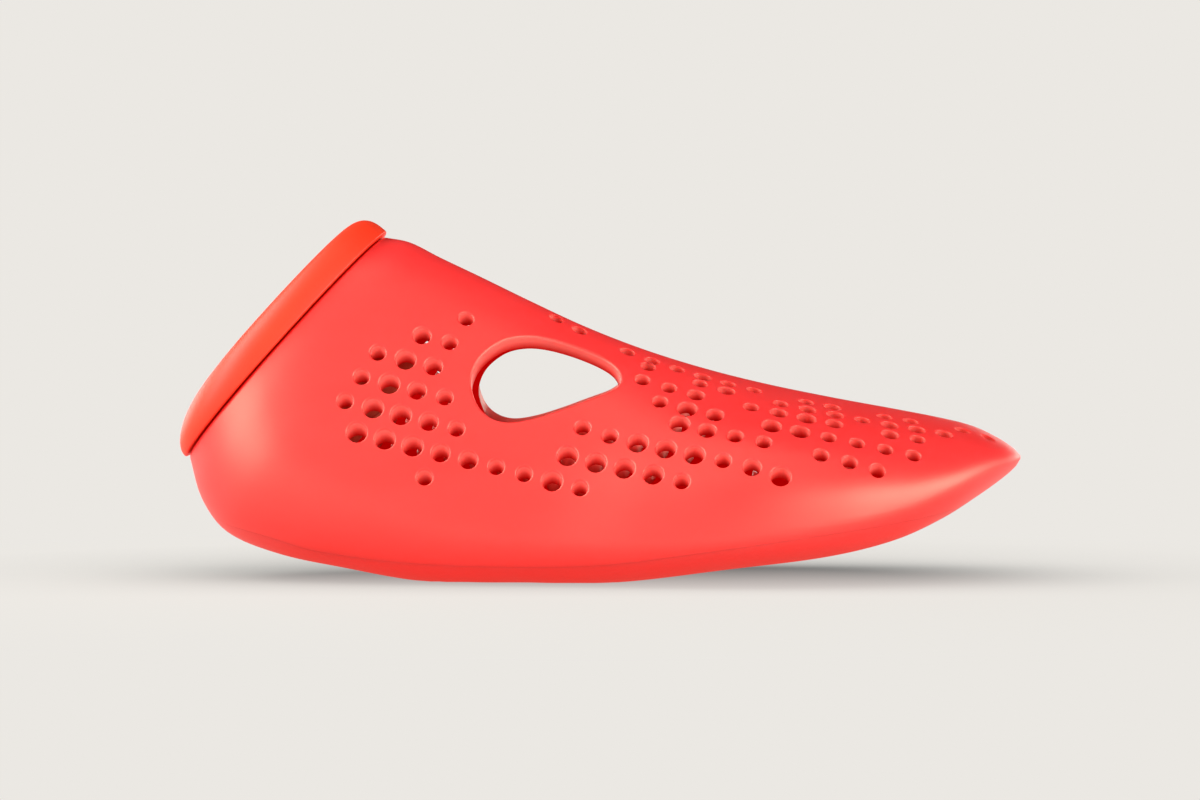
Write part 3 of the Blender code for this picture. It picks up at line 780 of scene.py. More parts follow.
def point_down_the_skin(x, distance):
    """The point at station x this far down the skin from the ridge, on the -Y side."""
    points = near_section(x)
    for before, after in zip(points, points[1:]):
        step = (after - before).length
        if distance <= step:
            return before.lerp(after, distance / step)
        distance -= step
    return points[-1]


def forefoot_places(row):
    """Evenly spaced points along a row of the forefoot."""
    line = []
    for step in range(ROW_SAMPLES + 1):
        t = step / ROW_SAMPLES
        x = row.start_x + t * (row.end_x - row.start_x)
        bow = 4.0 * t * (1.0 - t)
        straight = row.start_down + t * (row.end_down - row.start_down)
        rise = row.middle_down - 0.5 * (row.start_down + row.end_down)
        line.append(point_down_the_skin(x, straight + bow * rise))
    return resample(line, len(row.pattern) - 1)


def heel_place(row, index):
    """A point of the heel's grid, thrown onto the skin in the side view."""
    x = HEEL_GRID_START[0] + index * HEEL_STEP_ALONG[0] + row * HEEL_STEP_UP[0]
    z = HEEL_GRID_START[1] + index * HEEL_STEP_ALONG[1] + row * HEEL_STEP_UP[1]
    return thrown_on_skin(x, z)[0]


def perforation_places():
    """Every perforation of the -Y side, as its size letter and its point on the skin."""
    places = []
    for row in FOREFOOT_ROWS:
        places += [pair for pair in zip(row.pattern, forefoot_places(row)) if pair[0] != GAP]
    for row in HEEL_ROWS:
        for index, letter in enumerate(row.pattern, row.first):
            places.append((letter, heel_place(row.row, index)))
    return places


def place_points(places):
    """Both sides' places as a mesh of points that carry their size, lift and draw."""
    points = []
    for letter, place in places:
        nearest, lift = smooth_lift(place)
        for side in (-1.0, 1.0):
            at = nearest if side < 0.0 else mirrored(nearest)
            out = lift if side < 0.0 else mirrored(lift)
            points.append((SIZE_LETTERS.index(letter), at, out, draw_direction(side)))
    mesh = bpy.data.meshes.new("perforation_places")
    mesh.from_pydata([point[1] for point in points], [], [])
    size = mesh.attributes.new("size", "INT", "POINT")
    size.data.foreach_set("value", [point[0] for point in points])
    for name, column in (("lift", 2), ("draw", 3)):
        arrows = mesh.attributes.new(name, "FLOAT_VECTOR", "POINT")
        arrows.data.foreach_set("vector", [part for point in points for part in point[column]])
    return mesh


places = perforation_places()
print(f"{len(places)} perforations on each side")

# %% [markdown]
# ## Piercing the upper with Geometry Nodes
#
# One perforation is a bore along the mould's draw, with a small rounded lip where it meets the skin. You
# never model it more than once. A cylinder gives the rings of points, and an instance of it goes to each
# place. Then the tree moves every point by a formula: the first ring stands clear of the skin, the second
# lies on it, the next ones bend down into the bore, and the last goes straight through the wall. Because
# the second ring is set on the nearest point of the skin, each lip fits the curve that it lies in. One
# Boolean takes all of them out of the shell. A row of Boolean modifiers, one for each bore, would give
# the same holes much slower.
#
# The tree's inputs come first: every size has a name on the modifier.

# %% Inputs of the perforating tree
PIERCE_AROUND = 16
PIERCE_BEND_STEPS = 3
PIERCE_REACH_OUT = 0.0010
PIERCE_REACH_IN = 0.0030
BORES = {"Small bore": 0.0047, "Medium bore": 0.0054, "Large bore": 0.0061}
BORE_ROUND = 0.0007
SKIN_LIFT = 0.00001


def new_perforating_tree():
    """An empty tree with the inputs for the bores, and a wire from each input by its name."""
    tree = bpy.data.node_groups.new("perforations", "GeometryNodeTree")
    face = tree.interface
    face.new_socket("Shell", in_out="OUTPUT", socket_type="NodeSocketGeometry")
    face.new_socket("Shell", in_out="INPUT", socket_type="NodeSocketGeometry")
    face.new_socket("Places", in_out="INPUT", socket_type="NodeSocketObject")
    face.new_socket("Finish", in_out="INPUT", socket_type="NodeSocketMaterial")
    face.new_socket("Points around", in_out="INPUT", socket_type="NodeSocketInt")
    for what in [*BORES, "Rounding", "Wall", "Reach out", "Reach in", "Skin lift"]:
        face.new_socket(what, in_out="INPUT", socket_type="NodeSocketFloat")
    entry = tree.nodes.new("NodeGroupInput")
    return tree, {socket.name: Wire(socket) for socket in entry.outputs if socket.name}


def pick(tree, index, choices):
    """The choice with this index."""
    node = tree.nodes.new("GeometryNodeIndexSwitch")
    node.data_type = "FLOAT"
    while len(node.index_switch_items) < len(choices):
        node.index_switch_items.new()
    Wire.plug(index, node.inputs["Index"])
    for number, choice in enumerate(choices):
        Wire.plug(choice, node.inputs[number + 1])
    return Wire(node.outputs[0])


print("bores:", ", ".join(f"{1000.0 * bore:.1f} mm" for bore in BORES.values()))

# %% [markdown]
# ## The formula of a bore
#
# Before the cylinder is moved, each of its points stores where it sits on the cylinder, and each place
# stores where it is. Both are read again after Realize Instances, when every copy's points know the size,
# the outward direction and the draw of their own place. The angle round the cylinder becomes a spoke in
# the plane of the skin, and the row along it becomes a share of the bend.

# %% The perforating tree
def perforating_tree():
    """A tree that takes lipped bores out of a shell at the points of another object."""
    tree, given = new_perforating_tree()

    def node(kind, settings=None, values=None):
        return Wire.node(tree, kind, settings, values)

    def kept(geometry, name, value):
        values = {"Geometry": geometry, "Name": name, "Value": value}
        return node("GeometryNodeStoreNamedAttribute", {"data_type": "FLOAT_VECTOR"}, values)

    def recalled(name, kind="FLOAT_VECTOR"):
        return node("GeometryNodeInputNamedAttribute", {"data_type": kind}, {"Name": name})

    position = node("GeometryNodeInputPosition")
    points = node(
        "GeometryNodeObjectInfo", {"transform_space": "ORIGINAL"}, {"Object": given["Places"]}
    ).sibling("Geometry")
    points = kept(points, "place", position)
    rows = PIERCE_BEND_STEPS + 2
    cylinder = node(
        "GeometryNodeMeshCylinder",
        {"fill_type": "TRIANGLE_FAN"},
        {
            "Vertices": given["Points around"],
            "Side Segments": rows,
            "Radius": 1.0,
            "Depth": float(rows),
        },
    )
    cylinder = kept(cylinder, "local", position)
    copies = node("GeometryNodeInstanceOnPoints", None, {"Points": points, "Instance": cylinder})
    copies = node("GeometryNodeRealizeInstances", None, {"Geometry": copies})

    size = recalled("size", "INT")
    place = recalled("place")
    lift = recalled("lift")
    draw = recalled("draw")
    turn = node("ShaderNodeSeparateXYZ", None, {"Vector": recalled("local")})
    cosine = turn
    sine = turn.sibling("Y")
    row = turn.sibling("Z") + 0.5 * rows
    radius = 0.5 * pick(tree, size, [given[name] for name in BORES])

    forward = node("ShaderNodeCombineXYZ", None, {"X": 1.0})
    along = (forward - lift * forward.dot(lift)).unit()
    aside = along.cross(lift)
    spoke = along * cosine + aside * sine
    corner = place + spoke * radius
    on_skin = node(
        "GeometryNodeProximity",
        {"target_element": "FACES"},
        {"Geometry": given["Shell"], "Sample Position": corner + spoke * given["Rounding"]},
    )
    start = on_skin + lift * given["Skin lift"]
    end = corner - draw * given["Rounding"]

    share = ((row - 1.0) / float(PIERCE_BEND_STEPS)).clamped(0.0, 1.0)
    rest = 1.0 - share
    bent = start * (rest * rest) + corner * (2.0 * share * rest) + end * (share * share)
    outermost = 1.0 - row.above(0.5)
    innermost = row.above(rows - 0.5)
    bent = bent + lift * (outermost * given["Reach out"])
    through = given["Wall"] / draw.dot(lift) + given["Reach in"]
    bent = bent - draw * (innermost * through)
    cutters = node("GeometryNodeSetPosition", None, {"Geometry": copies, "Position": bent})
    pierced = node(
        "GeometryNodeMeshBoolean",
        {"operation": "DIFFERENCE", "solver": "MANIFOLD"},
        {"Mesh 1": given["Shell"], "Mesh 2": cutters},
    )
    pierced = node("GeometryNodeRealizeInstances", None, {"Geometry": pierced})
    pierced = node(
        "GeometryNodeSetMaterial", None, {"Geometry": pierced, "Material": given["Finish"]}
    )
    leave = tree.nodes.new("NodeGroupOutput")
    Wire.plug(pierced, leave.inputs["Shell"])
    return tree


def set_inputs(modifier, values):
    """Sets a Geometry Nodes modifier's inputs by the identifiers of their sockets."""
    for item in modifier.node_group.interface.items_tree:
        if item.in_out == "INPUT" and item.name in values:
            modifier[item.identifier] = values[item.name]


tree_of_bores = perforating_tree()
print("perforating tree:", len(tree_of_bores.nodes), "nodes")

# %% [markdown]
# ## Helpers for the finishes
#
# A finish that is one flat colour looks like a drawing of plastic. Real mouldings have a little of
# everything: drifting colour, a grain that you only see in the shine, a speck of dust. All of that can
# come from noise that is read at the object's own coordinates, so it stays put when the part moves. Five
# short helpers are enough: a new material, the place on the object, a noise, a mix of two colours, and
# one that gives a shader its colour, its roughness and its bumps.


# %% Helpers for the finishes
MIX_COLOUR_INPUTS = (0, 6, 7)
MIX_COLOUR_OUTPUT = 2


def new_finish(name):
    """A material, its node tree and its Principled shader."""
    material = bpy.data.materials.new(name)
    material.use_nodes = True
    return material, material.node_tree, material.node_tree.nodes["Principled BSDF"]


def object_place(tree):
    """The place on the object, in metres."""
    return Wire.node(tree, "ShaderNodeTexCoord").sibling("Object")


def noise(tree, place, scale, detail=2.0, roughness=0.5):
    """Soft noise from 0 to 1 with this many bumps to the metre."""
    values = {"Vector": place, "Scale": scale, "Detail": detail, "Roughness": roughness}
    return Wire.node(tree, "ShaderNodeTexNoise", None, values)


def blend(tree, share, first, second):
    """A colour between two colours."""
    values = dict(zip(MIX_COLOUR_INPUTS, (share, first, second)))
    return Wire.node(tree, "ShaderNodeMix", {"data_type": "RGBA"}, values, MIX_COLOUR_OUTPUT)


def dress(shader, colour, roughness, height, distance, strength=1.0):
    """Gives a shader its colour, its roughness, and the bumps of a height from 0 to 1."""
    values = {"Height": height, "Distance": distance, "Strength": strength}
    bumps = Wire.node(shader.id_data, "ShaderNodeBump", None, values)
    Wire.plug(colour, shader.inputs["Base Color"])
    Wire.plug(roughness, shader.inputs["Roughness"])
    Wire.plug(bumps, shader.inputs["Normal"])


# %% [markdown]
# ## Red plastic
#
# The shells are polypropylene in one strong red. Its red is nearly full while its green and blue are very
# low, so the lit side keeps its colour under bright lamps. The colour drifts a few percent in long faint
# flow lines, because the melt filled the mould from the heel to the toe. A fine grain on the steel of
# the mould gives the satin sheen, and here and there a dark speck is caught in it.
#
# Light also soaks a few millimetres into this plastic, red the farthest and blue the least. A share of
# real scattering softens the shading of the bores. Scattering alone would have to be so strong that
# every render is slow, so the mesh carries a number as well: how deep under the skin each corner lies,
# from 0 on the skin to 1 on the inner side of the wall. The colour follows that number, and that part is
# painted light. It is painted paler in the walls of the bores and of the window, a painted glow where the
# light would leave again, and painted darker towards the hollow, which is painted shade.

# %% Red plastic
RED = (0.94, 0.027, 0.030, 1.0)
RED_PALE = (0.95, 0.034, 0.037, 1.0)
RED_SPECK = (0.35, 0.004, 0.004, 1.0)
# A painted glow for the walls of the cuts, and painted shade towards the hollow.
RED_PAINTED_GLOW_IN_WALL = (0.98, 0.150, 0.130, 1.0)
RED_PAINTED_SHADE_INSIDE = (0.62, 0.004, 0.003, 1.0)
PAINTED_GLOW_FROM_DEPTH = 0.04
PAINTED_GLOW_TO_DEPTH = 0.14
PAINTED_SHADE_FROM_DEPTH = 0.38
PAINTED_SHADE_TO_DEPTH = 0.96
FLOW_STRETCH = (14.0, 55.0, 55.0)
FLOW_DETAIL = 4.0
FLOW_ROUGHNESS = 0.6
FLOW_MIDDLE = 0.35
FLOW_CONTRAST = 2.2
SPECK_CELLS = 110.0
SPECK_SIZE = 0.025
SPECK_SHARE = 0.10
RED_ROUGHNESS = 0.38
RED_ROUGHNESS_DRIFT = 0.08
RED_GRAIN = 1400.0
RED_GRAIN_DEPTH = 0.000012
SHINE = 0.9
# The warm tint of the highlights is painted lamp colour; the plastic itself mirrors white.
PAINTED_WARM_SHINE_TINT = (1.0, 0.98, 0.74, 1.0)
SOAK_SHARE = 0.35
SOAK_REACH = 0.004
SOAK_BY_COLOUR = (1.0, 0.25, 0.15)
DEPTH = "depth_under_skin"


def ramp(value, start, end):
    """0 up to the start, 1 from the end on, and even between them."""
    return ((value - start) / (end - start)).clamped(0.0, 1.0)


def skin_colour(tree, place, flow):
    """The red of the skin, with its flow lines and specks."""
    grid = {"Vector": place, "Scale": SPECK_CELLS}
    cells = Wire.node(tree, "ShaderNodeTexVoronoi", None, grid)
    chosen = Wire.node(tree, "ShaderNodeSeparateXYZ", None, {"Vector": cells.sibling("Color")})
    speck = (1.0 - cells.above(SPECK_SIZE)) * (1.0 - chosen.above(SPECK_SHARE))
    drift = ((flow - FLOW_MIDDLE) * FLOW_CONTRAST).clamped(0.0, 1.0)
    return blend(tree, speck, blend(tree, drift, RED, RED_PALE), RED_SPECK)


def make_red_plastic():
    """Satin red plastic with a painted glow in its cuts and painted shade towards the hollow."""
    finish, tree, shader = new_finish("red_moulded_plastic")
    place = object_place(tree)
    flow = noise(tree, place * FLOW_STRETCH, 1.0, FLOW_DETAIL, FLOW_ROUGHNESS)
    depth = Wire.node(tree, "ShaderNodeAttribute", {"attribute_name": DEPTH}).sibling("Fac")
    # a painted glow in the walls of the cuts
    painted_glow_in_wall = ramp(depth, PAINTED_GLOW_FROM_DEPTH, PAINTED_GLOW_TO_DEPTH)
    # painted shade towards the hollow
    inside = ramp(depth, PAINTED_SHADE_FROM_DEPTH, PAINTED_SHADE_TO_DEPTH)
    colour = blend(tree, painted_glow_in_wall, skin_colour(tree, place, flow), RED_PAINTED_GLOW_IN_WALL)
    colour = blend(tree, inside, colour, RED_PAINTED_SHADE_INSIDE)
    roughness = RED_ROUGHNESS + RED_ROUGHNESS_DRIFT * flow
    dress(shader, colour, roughness, noise(tree, place, RED_GRAIN), RED_GRAIN_DEPTH)
    shader.inputs["Subsurface Weight"].default_value = SOAK_SHARE
    shader.inputs["Subsurface Scale"].default_value = SOAK_REACH
    shader.inputs["Subsurface Radius"].default_value = SOAK_BY_COLOUR
    shader.inputs["Specular IOR Level"].default_value = SHINE
    # painted warmth in the highlights
    shader.inputs["Specular Tint"].default_value = PAINTED_WARM_SHINE_TINT
    return finish


red_plastic = make_red_plastic()
print("red plastic:", len(red_plastic.node_tree.nodes), "nodes")

# %% [markdown]
# ## The dull inside, in painted shade with a painted glow
#
# Nobody polishes the core that forms the hollow, so the inside of the shells hardly shines at all. It
# gets a finish of its own, with no mirror reflection and a coarse, blotchy grain. Its reds are darker
# than the skin's, which is painted shade for the hollow. What you see of it through the bores is then a
# clean deep red, without the grey veil that a reflection of the studio would lay over it. The finish also
# has a faint deep red painted glow of its own, for light that comes through the 5 mm wall from outside,
# more than the scattering above can carry.

# %% Dull inside
# The inside's reds are painted shade, darker than the red of the skin.
RED_PAINTED_SHADE_INSIDE_BLOTCH = (0.52, 0.003, 0.003, 1.0)
CORE_BLOTCH = 60.0
CORE_BLOTCH_DETAIL = 3.0
CORE_ROUGHNESS = 0.80
CORE_ROUGHNESS_DRIFT = 0.15
CORE_GRAIN = 700.0
CORE_GRAIN_DEPTH = 0.00004
# A painted glow: the inside gives off light of its own, though it is no lamp.
PAINTED_GLOW_INSIDE = (1.0, 0.0, 0.001, 1.0)
PAINTED_GLOW_STRENGTH = 0.17


def make_dull_red_painted_shade_and_glow():
    """The blotchy red of the hollow in painted shade, with no mirror reflection and a painted glow."""
    finish, tree, shader = new_finish("red_plastic_inside")
    place = object_place(tree)
    blotch = noise(tree, place, CORE_BLOTCH, CORE_BLOTCH_DETAIL)
    colour = blend(tree, blotch, RED_PAINTED_SHADE_INSIDE, RED_PAINTED_SHADE_INSIDE_BLOTCH)
    roughness = CORE_ROUGHNESS + CORE_ROUGHNESS_DRIFT * blotch
    dress(shader, colour, roughness, noise(tree, place, CORE_GRAIN), CORE_GRAIN_DEPTH)
    shader.inputs["Specular IOR Level"].default_value = 0.0
    shader.inputs["Emission Color"].default_value = PAINTED_GLOW_INSIDE
    shader.inputs["Emission Strength"].default_value = PAINTED_GLOW_STRENGTH
    return finish


dull_red_painted_shade_and_glow = make_dull_red_painted_shade_and_glow()
print("dull inside:", len(dull_red_painted_shade_and_glow.node_tree.nodes), "nodes")

# %% [markdown]
# ## Orange plastic
#
# The cap is a second moulding in a warmer red, with a coarser spark-eroded grain that scatters the light
# more. Two noises make the grain: one for its grains and one for the slow changes in how deep it is. The
# colour follows both a little as a painted sheen: it is painted paler where the grain is higher or deeper,
# as a grained skin looks paler where it catches more light.

# %% Orange plastic
ORANGE = (0.94, 0.026, 0.005, 1.0)
ORANGE_PAINTED_SHEEN = (0.96, 0.050, 0.010, 1.0)
ORANGE_ROUGHNESS = 0.46
ORANGE_ROUGHNESS_DRIFT = 0.10
CAP_GRAIN = 1100.0
CAP_GRAIN_DEPTH = 0.000030
CAP_GRAIN_ROUGHNESS = 0.6
CAP_DRIFT = 45.0
CAP_DETAIL = 3.0
PAINTED_SHEEN_BY_DRIFT = 0.6
PAINTED_SHEEN_BY_GRAIN = 0.4
EVEN_DEPTH = 0.6
DRIFTING_DEPTH = 0.4


def make_orange_plastic():
    """Grained plastic in a warm red with a painted sheen on its grain, for the cap."""
    finish, tree, shader = new_finish("orange_grained_plastic")
    place = object_place(tree)
    slow = noise(tree, place, CAP_DRIFT, CAP_DETAIL)
    grain = noise(tree, place, CAP_GRAIN, CAP_DETAIL, CAP_GRAIN_ROUGHNESS)
    # painted sheen: paler where the grain is higher or deeper
    pale = (PAINTED_SHEEN_BY_DRIFT * slow + PAINTED_SHEEN_BY_GRAIN * grain).clamped(0.0, 1.0)
    height = grain * (EVEN_DEPTH + DRIFTING_DEPTH * slow)
    colour = blend(tree, pale, ORANGE, ORANGE_PAINTED_SHEEN)
    roughness = ORANGE_ROUGHNESS + ORANGE_ROUGHNESS_DRIFT * grain
    dress(shader, colour, roughness, height, CAP_GRAIN_DEPTH)
    return finish


orange_plastic = make_orange_plastic()
print("orange plastic:", len(orange_plastic.node_tree.nodes), "nodes")

# %% [markdown]
# ## Cedar
#
# The block is sawn from cedar, so every face shows the same growth rings cut at another angle. You get
# that for free when the rings are a solid pattern in space: the distance from the axis of the tree trunk,
# bent a little by noise, and a sine that turns the distance into rings. Late wood is the dark, narrow
# half of each ring, so the sine is raised to a power. Short fibres along the trunk roughen the faces.

# %% Cedar
CEDAR_PALE = (0.60, 0.21, 0.11, 1.0)
CEDAR_DARK = (0.36, 0.075, 0.040, 1.0)
TRUNK_AXIS = (0.0, 0.060, -0.080)
TRUNK_STRETCH = (0.15, 1.0, 1.0)
RINGS_TO_THE_METRE = 380.0
RING_BEND = 0.0025
RING_BENDS = 28.0
LATE_WOOD_POWER = 3.0
LATE_WOOD_SHARE = 0.75
FIBRE_STRETCH = (40.0, 900.0, 900.0)
FIBRE_DETAIL = 3.0
FIBRE_ROUGHNESS = 0.7
FIBRE_SHARE = 0.35
FIBRE_DEPTH = 0.00008
FIBRE_STRENGTH = 0.6
CEDAR_ROUGHNESS = 0.72
LATE_WOOD_SMOOTHER = 0.12


def make_cedar():
    """Cedar with growth rings round a trunk that runs along X, beside and above the block."""
    finish, tree, shader = new_finish("cedar_wood")
    place = object_place(tree)
    bent = place + TRUNK_AXIS + RING_BEND * noise(tree, place, RING_BENDS)
    radius = (bent * TRUNK_STRETCH).length()
    wave = 0.5 + 0.5 * (2.0 * pi * RINGS_TO_THE_METRE * radius).sine()
    late_wood = wave**LATE_WOOD_POWER
    fibre = noise(tree, place * FIBRE_STRETCH, 1.0, FIBRE_DETAIL, FIBRE_ROUGHNESS)
    dark = (LATE_WOOD_SHARE * late_wood + FIBRE_SHARE * fibre).clamped(0.0, 1.0)
    colour = blend(tree, dark, CEDAR_PALE, CEDAR_DARK)
    roughness = CEDAR_ROUGHNESS - LATE_WOOD_SMOOTHER * late_wood
    dress(shader, colour, roughness, fibre, FIBRE_DEPTH, FIBRE_STRENGTH)
    return finish


cedar = make_cedar()
print("cedar:", len(cedar.node_tree.nodes), "nodes")

# %% [markdown]
# ## Piercing, and settling the result
#
# The tree is a modifier on the upper. Its sizes are set by the identifiers of its inputs, and the places
# come from a helper object with one point for each bore on both sides. What the modifier makes is then
# turned into a plain mesh, and the modifier and the helper go, so that later steps can read the faces.

# %% Piercing
place_holder = add_object("perforation_places", place_points(places))
piercing = upper.modifiers.new("perforations", "NODES")
piercing.node_group = tree_of_bores
sizes = {
    "Places": place_holder,
    "Finish": red_plastic,
    "Points around": PIERCE_AROUND,
    "Rounding": BORE_ROUND,
    "Wall": WALL,
    "Reach out": PIERCE_REACH_OUT,
    "Reach in": PIERCE_REACH_IN,
    "Skin lift": SKIN_LIFT,
}
set_inputs(piercing, {**sizes, **BORES})
settle(upper)
bpy.data.objects.remove(place_holder)
print(f"pierced upper: {len(upper.data.polygons)} faces")

# %% [markdown]
# ## Smooth shading that ignores the cuts
#
# A Boolean leaves long thin triangles round every hole. Smooth shading would smear the slope of the hole
# over them, and a glossy skin would show it. The cure is to tell every corner that lies on the outer skin
# which way the uncut skin faces there. The cuts then only change where the surface is, not how it shines.
# The same pass knows how deep each corner lies, so it also writes the number that the red plastic reads
# for its painted glow and painted shade.

# %% Shading
ON_SKIN = 0.00004
INSIDE_SHARE = 0.85
LARGEST_TURN = radians(32.0)
SHARPEST = radians(50.0)


def shade_like_skin(piece):
    """Shades a piece smooth, and where it follows the skin, exactly as the uncut skin.

    It also writes down how deep under the skin each point lies, and gives the inside its finish of painted
    shade and glow.
    """
    mesh = piece.data
    mesh.shade_smooth()
    mesh.set_sharp_from_angle(angle=SHARPEST)
    mesh.materials.clear()
    mesh.materials.append(red_plastic)
    mesh.materials.append(dull_red_painted_shade_and_glow)
    depth = mesh.attributes.new(DEPTH, "FLOAT", "POINT").data
    lifts = []
    for vertex in mesh.vertices:
        nearest, lift = smooth_lift(vertex.co)
        under = (nearest - vertex.co).length
        depth[vertex.index].value = min(under / WALL, 1.0)
        lifts.append(lift if under < ON_SKIN else None)
    for face in mesh.polygons:
        # Faces deep inside take the second finish, with its painted shade and painted glow.
        face.material_index = int(min(depth[index].value for index in face.vertices) > INSIDE_SHARE)
    custom = [(0.0, 0.0, 0.0)] * len(mesh.loops)
    for face in mesh.polygons:
        for loop in face.loop_indices:
            lift = lifts[mesh.loops[loop].vertex_index]
            if lift and lift.dot(face.normal) > cos(LARGEST_TURN):
                custom[loop] = lift[:]
    mesh.normals_split_custom_set(custom)


for piece in (upper, sole):
    shade_like_skin(piece)
    inside_faces = sum(face.material_index for face in piece.data.polygons)
    print(f"{piece.name}: {len(piece.data.polygons)} faces, {inside_faces} of them inside")

# %% [markdown]
# ## The heel cap
#
# The cap closes the slanted opening. It lies on the rim with a thin shadow gap, overhangs it by one or two
# millimetres so that a finger nail finds an edge, and holds on by a skirt that plugs into the opening.
# The outside is a low dome with full sides and a nearly flat top. You could bevel a slab, but the
# outline is an egg and the overhang differs at the heel, the top and the sides. So the cap is lofted like
# the foot: rings go from the flat top out over the dome, round the edge, back under it, down the skirt
# and up again inside. All are made from the same first section as the opening, so if the opening
# changes, the cap follows.
#
# The outlines come first: the base, the flat top, and the skirt, which is the opening's inner ring made
# smaller by its clearance.

# %% Outlines of the cap
CAP_SEAT_GAP = 0.0005
CAP_LOW_OVERHANG = 0.0011
CAP_TOP_OVERHANG = 0.0018
CAP_SIDE_OVERHANG = 0.0014
CAP_LOW_INSET = 0.0200
CAP_TOP_INSET = 0.0105
CAP_SIDE_INSET = 0.0085
SKIRT_CLEARANCE = 0.0003
SKIRT_WALL = 0.0018


def grown(section, low, top, side):
    """A section made longer and wider in its own plane; negative values make it smaller."""
    sole_point, up, height = ring_frame(section)
    low_end = sole_point - up * low
    top_end = sole_point + up * (height + top)
    return section._replace(
        sole_x=low_end.x,
        sole_z=low_end.z,
        ridge_x=top_end.x,
        ridge_z=top_end.z,
        half_width=section.half_width + side,
    )


def moved(ring, offset):
    """A ring moved by an offset."""
    return [point + offset for point in ring]


def inward(ring, distance):
    """A flat ring of the cap moved inward in its plane."""
    count = len(ring)
    middle = ring_middle(ring)
    result = []
    for index, point in enumerate(ring):
        around = (ring[(index + 1) % count] - ring[index - 1]).normalized()
        away = around.cross(cap_out)
        if away.dot(middle - point) < 0.0:
            away.negate()
        result.append(point + away * distance)
    return result


cap_up = ring_frame(SECTIONS[0])[1]
cap_out = cap_up.cross(ACROSS)
cap_base = section_ring(
    grown(SECTIONS[0], CAP_LOW_OVERHANG, CAP_TOP_OVERHANG, CAP_SIDE_OVERHANG)
)
cap_top = section_ring(
    grown(
        SECTIONS[0],
        CAP_LOW_OVERHANG - CAP_LOW_INSET,
        CAP_TOP_OVERHANG - CAP_TOP_INSET,
        CAP_SIDE_OVERHANG - CAP_SIDE_INSET,
    )
)
seat = cap_out * CAP_SEAT_GAP
skirt = inward(inset_rings(WALL, last=1)[0], SKIRT_CLEARANCE)
skirt_inside = inward(skirt, SKIRT_WALL)
cap_top_end, cap_low_end = cap_base[0], cap_base[HALF_RING_STEPS]
print(f"cap: {1000.0 * (cap_top_end - cap_low_end).length:.1f} mm long")

# %% [markdown]
# ## The dome, the edge and the skirt
#
# The dome's side is a superellipse again. Its power says how full it is, and it changes with the place
# round the cap: full at the sides and at the top, and leaner at the heel, where the cap falls away.

# %% Heel cap
CAP_LOW_HEIGHT = 0.0100
CAP_TOP_HEIGHT = 0.0101
CAP_WALL = 0.0024
CAP_SHOULDER_SHARE = 0.5
CAP_LOW_FULLNESS = 1.80
CAP_TOP_FULLNESS = 2.80
CAP_SIDE_FULLNESS = 3.00
CAP_EDGE_RADIUS = 0.0006
SKIRT_DEPTH = 0.0060
DOME_STEPS = 16


def cap_height(point):
    """The cap's height over this point of the opening's plane."""
    share = (point - cap_low_end).dot(cap_up) / (cap_top_end - cap_low_end).length
    return CAP_LOW_HEIGHT + (CAP_TOP_HEIGHT - CAP_LOW_HEIGHT) * share


def dome_ring(turn):
    """The dome's ring at this turn, from 0 at its edge to a quarter turn at its flat top."""
    ring = []
    for index, (edge, top) in enumerate(zip(cap_base, cap_top)):
        side = cos(pi * index / HALF_RING_STEPS)
        fullest = CAP_TOP_FULLNESS if side > 0.0 else CAP_LOW_FULLNESS
        power = CAP_SIDE_FULLNESS + (fullest - CAP_SIDE_FULLNESS) * side**2
        place = edge.lerp(top, 1.0 - max(cos(turn), 0.0) ** (2.0 / power))
        rise = (cap_height(place) - CAP_EDGE_RADIUS) * sin(turn) ** (2.0 / power)
        ring.append(place + seat + cap_out * (CAP_EDGE_RADIUS + rise))
    return ring


cap_rings = [dome_ring(0.5 * pi * step / DOME_STEPS) for step in range(DOME_STEPS, -1, -1)]
edge_end = moved(inward(cap_base, CAP_EDGE_RADIUS), seat)
cap_rings += rounded(cap_rings[-1], moved(cap_base, seat), edge_end)[1:]
cavity = CAP_TOP_HEIGHT - CAP_WALL
cap_rings += [
    moved(skirt, seat),
    moved(skirt, -cap_out * SKIRT_DEPTH),
    moved(skirt_inside, -cap_out * SKIRT_DEPTH),
    moved(skirt_inside, seat + cap_out * (CAP_SHOULDER_SHARE * cavity)),
    moved(inward(cap_top, CAP_WALL), seat + cap_out * cavity),
]
top_middle = ring_middle(cap_top)
cap = add_object(
    "heel_cap_dome",
    loft(
        cap_rings,
        top_middle + seat + cap_out * cap_height(top_middle),
        top_middle + seat + cap_out * cavity,
    ),
)
print(f"heel cap: {len(cap_rings)} rings")

# %% [markdown]
# ## The cedar block and its socket
#
# Behind the cap sits a block of cedar that dries and scents the shoe through the perforations. It is
# pressed into a low frame that is moulded to the inside of the cap, so the two come out together. The
# block is a box with eased edges, and the frame is one box cut out of another and joined to the cap.
# All of it is placed from the middle of the cap's flat top, along the direction the cap pulls off.

# %% Cedar block
BLOCK_LENGTH = 0.0440
BLOCK_WIDTH = 0.0220
BLOCK_DEPTH = 0.0440
BLOCK_EDGE_ROUND = 0.0015
BLOCK_EDGE_STEPS = 3
BLOCK_CLEARANCE = 0.0003
SOCKET_WALL = 0.0016
SOCKET_ROOT_SHARE = 0.5
SOCKET_DEPTH = 0.0120


